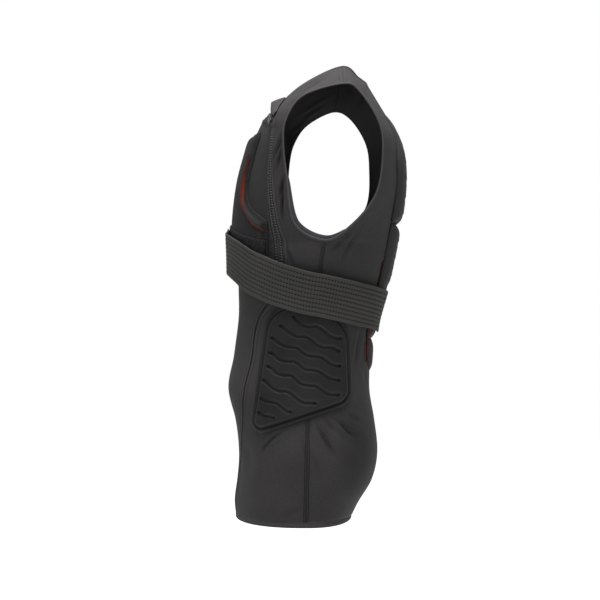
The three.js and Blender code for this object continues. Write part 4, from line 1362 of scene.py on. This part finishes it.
def buildBelt():
    coarse = np.linspace(belt["under"], 4 - belt["over"], 400)
    length = runOf(beltPlace(coarse, 0 * coarse)[0][None], 1)[0]
    dotCount = round(length[-1] / belt["dotPitch"])
    run = np.linspace(0, length[-1], belt["dotColumns"] * dotCount + 1)
    rows = belt["ribRows"] * belt["ribs"]
    row = np.arange(rows + 1)[:, None]
    across = row / rows - 0.5
    along, across = np.broadcast_arrays(np.interp(run, length, coarse)[None, :], across)
    point, normal = beltPlace(along, across)
    rib = row % belt["ribRows"]
    valley = ((rib == 0) & (row > 0) & (row < rows)).astype(float)
    hole = valley * (np.arange(len(run)) % belt["dotColumns"] == 1)
    swell = np.sin(rib / belt["ribRows"] * math.pi) ** belt["ribRound"]
    lift = belt["thickness"] - belt["ribHeight"] * (1 - swell) - belt["dotDepth"] * hole
    fromEdge = np.minimum(row, rows - row) / rows * belt["width"]
    # painted highlight along both edges and the mask for painted shade in the holes
    wear = belt["edgeHighlight"] * (1 - smooth(fromEdge, 0, belt["edgeWidth"]))
    dots = np.where((row > 2) & (row < rows - 2), 1 - np.minimum(rib, belt["ribRows"] - rib) / 2, 0)
    uv = np.stack(np.broadcast_arrays(run[None, :], across * belt["width"]), -1) * mm
    mesh = gridMesh(
        "elasticBelt", point + normal * lift[..., None], normal, uv,
        tone=belt["ribShade"] * valley, wear=wear, dots=dots,
    )
    piece = addPiece(mesh, beltFinish(beltLook), "elastic", "elastic_belt")
    thicken(piece, belt["wall"])
    print("belt length", round(length[-1]), "mm")


buildBelt()

patchLook = {
    "low": (0.0026, 0.0026, 0.0028), "high": (0.0082, 0.0082, 0.0085), "stops": (0.35, 0.7),
    "curl": (0.0125, 0.0125, 0.013),
    "curlStops": ((0.43, (0, 0, 0)), (0.57, (0, 0, 0)), (0.5, (1, 1, 1))),
    "roughness": 0.95, "specular": 0.03, "bump": (0.0012, 0.9),
    "pileNoise": {"scale": 420, "detail": 3}, "curlNoise": {"scale": 520, "detail": 1},
}
loopPatch = {
    "corners": ((0, -207, 60), (134, -234, 3), (132, -279, 3), (-132, -279, 3), (-134, -234, 3)),
    "cell": 2.2, "base": 0.6, "rimHeight": 3.3, "thickness": 1.9, "edgeShare": 0.4, "edgeWidth": 1.5,
    "pile": 0.35, "pileEase": 3,
}


def patchFinish(look):
    material, tree, shader = newFinish("loopPile", look["roughness"], look["specular"])
    pile, curl = (noiseOf(tree, **look[k]) for k in ("pileNoise", "curlNoise"))
    curls = rampOf(tree, curl, look["curlStops"])
    colour = mixColour(tree, curls, shaded(tree, pile, look), (*look["curl"], 1))
    feed(tree, shader, colour=colour, normal=bumpOf(tree, pile, *look["bump"]))
    return material


def buildPatch():
    outline = roundedOutline(loopPatch["corners"])
    mesh, x, z, top = cutPad("loopPatch", outline, loopPatch["cell"])
    inside = insideOf(x, z, outline)
    point, normal = onFace("front", x, z)
    pile = dice.uniform(-loopPatch["pile"], loopPatch["pile"], len(x))
    pile = pile * smooth(inside, 0, loopPatch["pileEase"])
    full = lerp(loopPatch["edgeShare"], 1, smooth(inside, 0, loopPatch["edgeWidth"]))
    out = loopPatch["base"] + np.maximum(chestHeight(x, z), loopPatch["rimHeight"])
    out = out + np.where(top, loopPatch["thickness"] * full + pile, 0)
    finishPad(mesh, point + normal * out[:, None], np.stack([x, z], -1))
    piece = addPiece(mesh, patchFinish(patchLook), "loop", "loop_patch")


buildPatch()
print("belt and patch made")

# dark is the colour that the trims darken to along parts of their length
accentLook = {
    "low": (0.030, 0.0058, 0.0038), "high": (0.048, 0.0090, 0.0058), "stops": (0.3, 0.7),
    "dark": (0.007, 0.0052, 0.005), "highlight": (0.09, 0.03, 0.022), "roughness": 0.7, "specular": 0.02,
    "cloud": {"scale": 60, "detail": 3}, "grain": {"scale": 700, "detail": 2}, "bump": (0.0002, 0.3),
}
chestTrim = {
    "route": ((64, -110), (66.5, -146), (78.5, -178), (104, -203), (132.5, -224)),
    "width": ((0, 6), (0.3, 7.4), (0.5, 7.4), (0.62, 6), (0.75, 4.2), (1, 3.8)),  # share, width
    "darkerAlong": (  # share, how much darker
        (0, 0.95), (0.12, 0.6), (0.28, 0.1), (0.37, 0.12), (0.45, 0.42), (0.55, 0.48), (0.62, 0.85),
        (0.8, 0.88), (0.88, 0.7), (1, 0.75),
    ),
    "rows": 70, "columns": 8, "tipRows": 3, "thickness": 1.0, "gap": 0.15, "wall": 0.9,
}
backPiping = {
    "route": ((90, -262), (83, -330), (78.5, -380), (72, -412)),
    "darkerAlong": ((0, 0.85), (0.4, 0.75), (0.55, 0.3), (0.7, 0), (1, 0)),
    "rows": 80, "sides": 10, "tipRows": 2, "tipShare": 0.02, "radius": 1.5, "gap": 0.4,
}


def accentFinish(look):
    material, tree, shader = newFinish("accentRubber", look["roughness"], look["specular"])
    colour = shaded(tree, noiseOf(tree, **look["cloud"]), look)
    normal = bumpOf(tree, noiseOf(tree, **look["grain"]), *look["bump"])
    feed(tree, shader, colour=withPaintedLight(tree, colour, look), normal=normal)
    return material


accent = accentFinish(accentLook)


# narrows the first and last rows of a strip to a round tip
def tipsOf(rows, tipRows, least=0.0):
    row = np.arange(rows + 1)
    return np.sqrt(np.clip(np.minimum(row, rows - row) / tipRows, least, 1))


def buildChestTrim(name, side):
    line = routeThrough(chestTrim["route"], chestTrim["rows"])
    ahead = unit(np.gradient(line, axis=0))
    over = np.stack([ahead[:, 1], -ahead[:, 0]], -1)
    along = np.linspace(0, 1, len(line))
    wide = tableValue(chestTrim["width"], along) * tipsOf(chestTrim["rows"], chestTrim["tipRows"])
    share = np.linspace(-0.5, 0.5, chestTrim["columns"] + 1)[None, :]
    x, z = np.moveaxis(line[:, None] + over[:, None] * (share * wide[:, None])[..., None], -1, 0)
    point, normal = onFace("front", side * x, z)
    crown = chestTrim["thickness"] * (1 - (2 * share) ** 4)
    lift = chestPad["base"] + chestHeight(x, z) + chestTrim["gap"] + crown
    # darker at the upper tip and over the lower half of the trim
    darkerAlong = tableValue(chestTrim["darkerAlong"], along)[:, None]
    mesh = gridMesh(f"{name}ChestTrim", point + normal * lift[..., None], normal, tone=darkerAlong)
    thicken(addPiece(mesh, accent, "accent", f"{name}_chest_trim"), chestTrim["wall"])


def buildBackPiping(name, side):
    line = routeThrough(backPiping["route"], backPiping["rows"])
    point, normal = onFace("back", side * line[:, 0], line[:, 1])
    over = unit(np.cross(unit(np.gradient(point, axis=0)), normal))
    turn = np.linspace(0, 2 * math.pi, backPiping["sides"] + 1)[None, :, None]
    tips = tipsOf(backPiping["rows"], backPiping["tipRows"], backPiping["tipShare"])
    centre = (point + normal * (backPiping["radius"] + backPiping["gap"]))[:, None]
    outward = normal[:, None] * np.cos(turn) + over[:, None] * np.sin(turn)
    places = centre + outward * backPiping["radius"] * tips[:, None, None]
    # darker along the upper part of the piping
    darkerAlong = tableValue(backPiping["darkerAlong"], np.linspace(0, 1, len(line)))[:, None]
    mesh = gridMesh(f"{name}BackPiping", places, outward, tone=darkerAlong)
    mesh = joined(f"{name}BackPiping", [mesh], weldReach)
    addPiece(mesh, accent, "accent", f"{name}_back_piping")


for name, side in sides:
    buildChestTrim(name, side)
    buildBackPiping(name, side)
print("trims made")

zipLook = {
    **threadLook, "low": (0.014, 0.014, 0.0146), "high": (0.029, 0.029, 0.03), "roughness": 0.5,
}
zipper = {
    "low": -633, "high": -44.3, "bend": -80, "rows": 320, "bendRows": 90,
    "tapeHalf": 5.5, "tapeColumns": 6, "tapeSink": 0.4, "deepSink": 1.4, "tapeThickness": 0.8,
    "toothPitch": 3.8, "toothTurn": 34,
    "zones": (  # from, to, size of a tooth, how far to the side and out of the cloth
        (-633, -318, (2.8, 1.7, 1.5), 1.05, -0.9),
        (-318, -44.3, (5.2, 2.7, 2.3), 2.1, 0.4),
    ),
}


# a line beside the zipper's middle, with closer points on the bend at its top
def zipCurve(offset, low=zipper["low"], high=zipper["high"]):
    bend = zipper["bend"]
    z = np.linspace(low, high, zipper["rows"])
    if low < bend < high:
        upper = np.linspace(bend, high, zipper["bendRows"])[1:]
        z = np.concatenate([np.linspace(low, bend, zipper["rows"]), upper])
    lean = zipAt(z + 0.5) - zipAt(z - 0.5)
    slope = np.hypot(1, lean)
    return onFace("front", zipAt(z) + offset / slope, z - offset * lean / slope)


def buildZipper():
    shares = np.linspace(-1, 1, zipper["tapeColumns"] + 1)
    lines = [zipCurve(zipper["tapeHalf"] * share) for share in shares]
    point, normal = (np.stack([line[k] for line in lines], 1) for k in (0, 1))
    deep = zipper["deepSink"] * (1 - smooth(point[..., 2], *zipLips["openZ"]))
    places = point - normal * (zipper["tapeSink"] + deep)[..., None]
    piece = addPiece(gridMesh("zipTape", places, normal), knit, "zipper", "zipper_chain")
    thicken(piece, zipper["tapeThickness"])
    coils = []
    for low, high, size, apart, out in zipper["zones"]:
        seed = beadMesh("toothSeed", size)
        places = []
        for way in (1, -1):
            turn = math.radians(90 - way * zipper["toothTurn"])
            line = zipCurve(way * apart, low, high)
            places += beadsAlong(*line, zipper["toothPitch"], out, turn)
        coils.append(sown("coilRun", seed, places))
        bpy.data.meshes.remove(seed)
        print("coil teeth", len(places))
    addPiece(joined("zipCoil", coils), threadFinish("coilNylon", zipLook), "zipper")


buildZipper()

garage = {
    "lower": ((0, 60, -38, 11), (0.45, 86, -49, 3.4), (1, 122, -57.5, 2.4)),  # share, x, z, off the cloth
    "upper": ((0, 70, -25.5, 2.4), (0.5, 98, -37, 2.6), (1, 124, -51, 2.4)),
    "rows": 12, "columns": 30, "crown": 0.8, "thickness": 1.5, "stitchRow": 10, "stitchLift": 0.15,
}


# pointed flap folded over the neck edge at the top of the zipper
def buildGarage():
    along = np.linspace(0, 1, garage["columns"] + 1)
    across = np.linspace(0, 1, garage["rows"] + 1)[:, None]
    lower, upper = (tableCurve(garage[k])(along)[None] for k in ("lower", "upper"))
    x, z, out = np.moveaxis(lerp(lower, upper, across[..., None]), -1, 0)
    point, normal = onFace("front", x, z)
    places = point + normal * (out + garage["crown"] * np.sin(math.pi * across))[..., None]
    piece = addPiece(gridMesh("zipGarage", places, normal), flapKnit, "knit", "zip_garage")
    thicken(piece, garage["thickness"])
    row = garage["stitchRow"]
    sewAlong(places[row], normal[row], garage["stitchLift"])


buildGarage()

sliderLook = {
    "low": (0.016, 0.016, 0.0165), "high": (0.045, 0.045, 0.0465), "stops": (0.3, 0.75),
    "roughness": 0.35, "roughLow": 0.32, "roughHigh": 0.55, "specular": 0.5,
    "scuff": {"scale": 500, "detail": 3},
}
slider = {
    "z": -62, "span": 3.0,  # height on the zipper, and how far up and down its lean is taken
    "bevel": 0.28, "bevelSteps": 3,
    "blocks": (  # size, place, how wide the lower end is
        ((7.5, 11.5, 3.0), (0, 0, 3.0), 0.72),  # body
        ((2.2, 5.0, 1.6), (0, 1.0, 5.0), 1.0),  # bridge
        ((4.6, 17, 1.2), (0, -7.0, 5.4), 1.25),  # pull
    ),
}


def metalFinish(look):
    material, tree, shader = newFinish("sliderMetal", look["roughness"], look["specular"])
    shader.inputs["Metallic"].default_value = 1.0
    scuff = noiseOf(tree, **look["scuff"])
    rough = rangeOf(tree, scuff, look["roughLow"], look["roughHigh"])
    feed(tree, shader, colour=shaded(tree, scuff, look), roughness=rough)
    return material


def roundedBlock(bm, size, place, lowerWidth):
    made = bmesh.ops.create_cube(bm, size=1)["verts"]
    bmesh.ops.scale(bm, verts=made, vec=Vector(size) * mm)
    for vert in made:
        if vert.co.y < 0:
            vert.co.x *= lowerWidth
    bmesh.ops.translate(bm, verts=made, vec=Vector(place) * mm)
    edges = {edge for vert in made for edge in vert.link_edges}
    bmesh.ops.bevel(
        bm, geom=list(edges), offset=slider["bevel"] * min(size) * mm, segments=slider["bevelSteps"],
        profile=0.5, affect="EDGES", material=-1,
    )


def buildSlider():
    z = slider["z"] + slider["span"] * np.array((-1, 0, 1))
    point, normal = onFace("front", zipAt(z), z)
    along = unit(point[2] - point[0])
    across = unit(np.cross(along, normal[1]))
    bm = bmesh.new()
    for block in slider["blocks"]:
        roundedBlock(bm, *block)
    seat = seatAt(point[1], across, along, np.cross(across, along))
    bmesh.ops.transform(bm, matrix=seat, verts=bm.verts[:])
    addPiece(meshFrom("zipSlider", bm), metalFinish(sliderLook), "slider", "zipper_slider")


buildSlider()


def buildStitches():
    seed = beadMesh("stitchSeed", stitch["size"])
    addPiece(sown("stitches", seed, stitchPlaces), thread, "edging")
    bpy.data.meshes.remove(seed)
    print("stitches", len(stitchPlaces))


buildStitches()
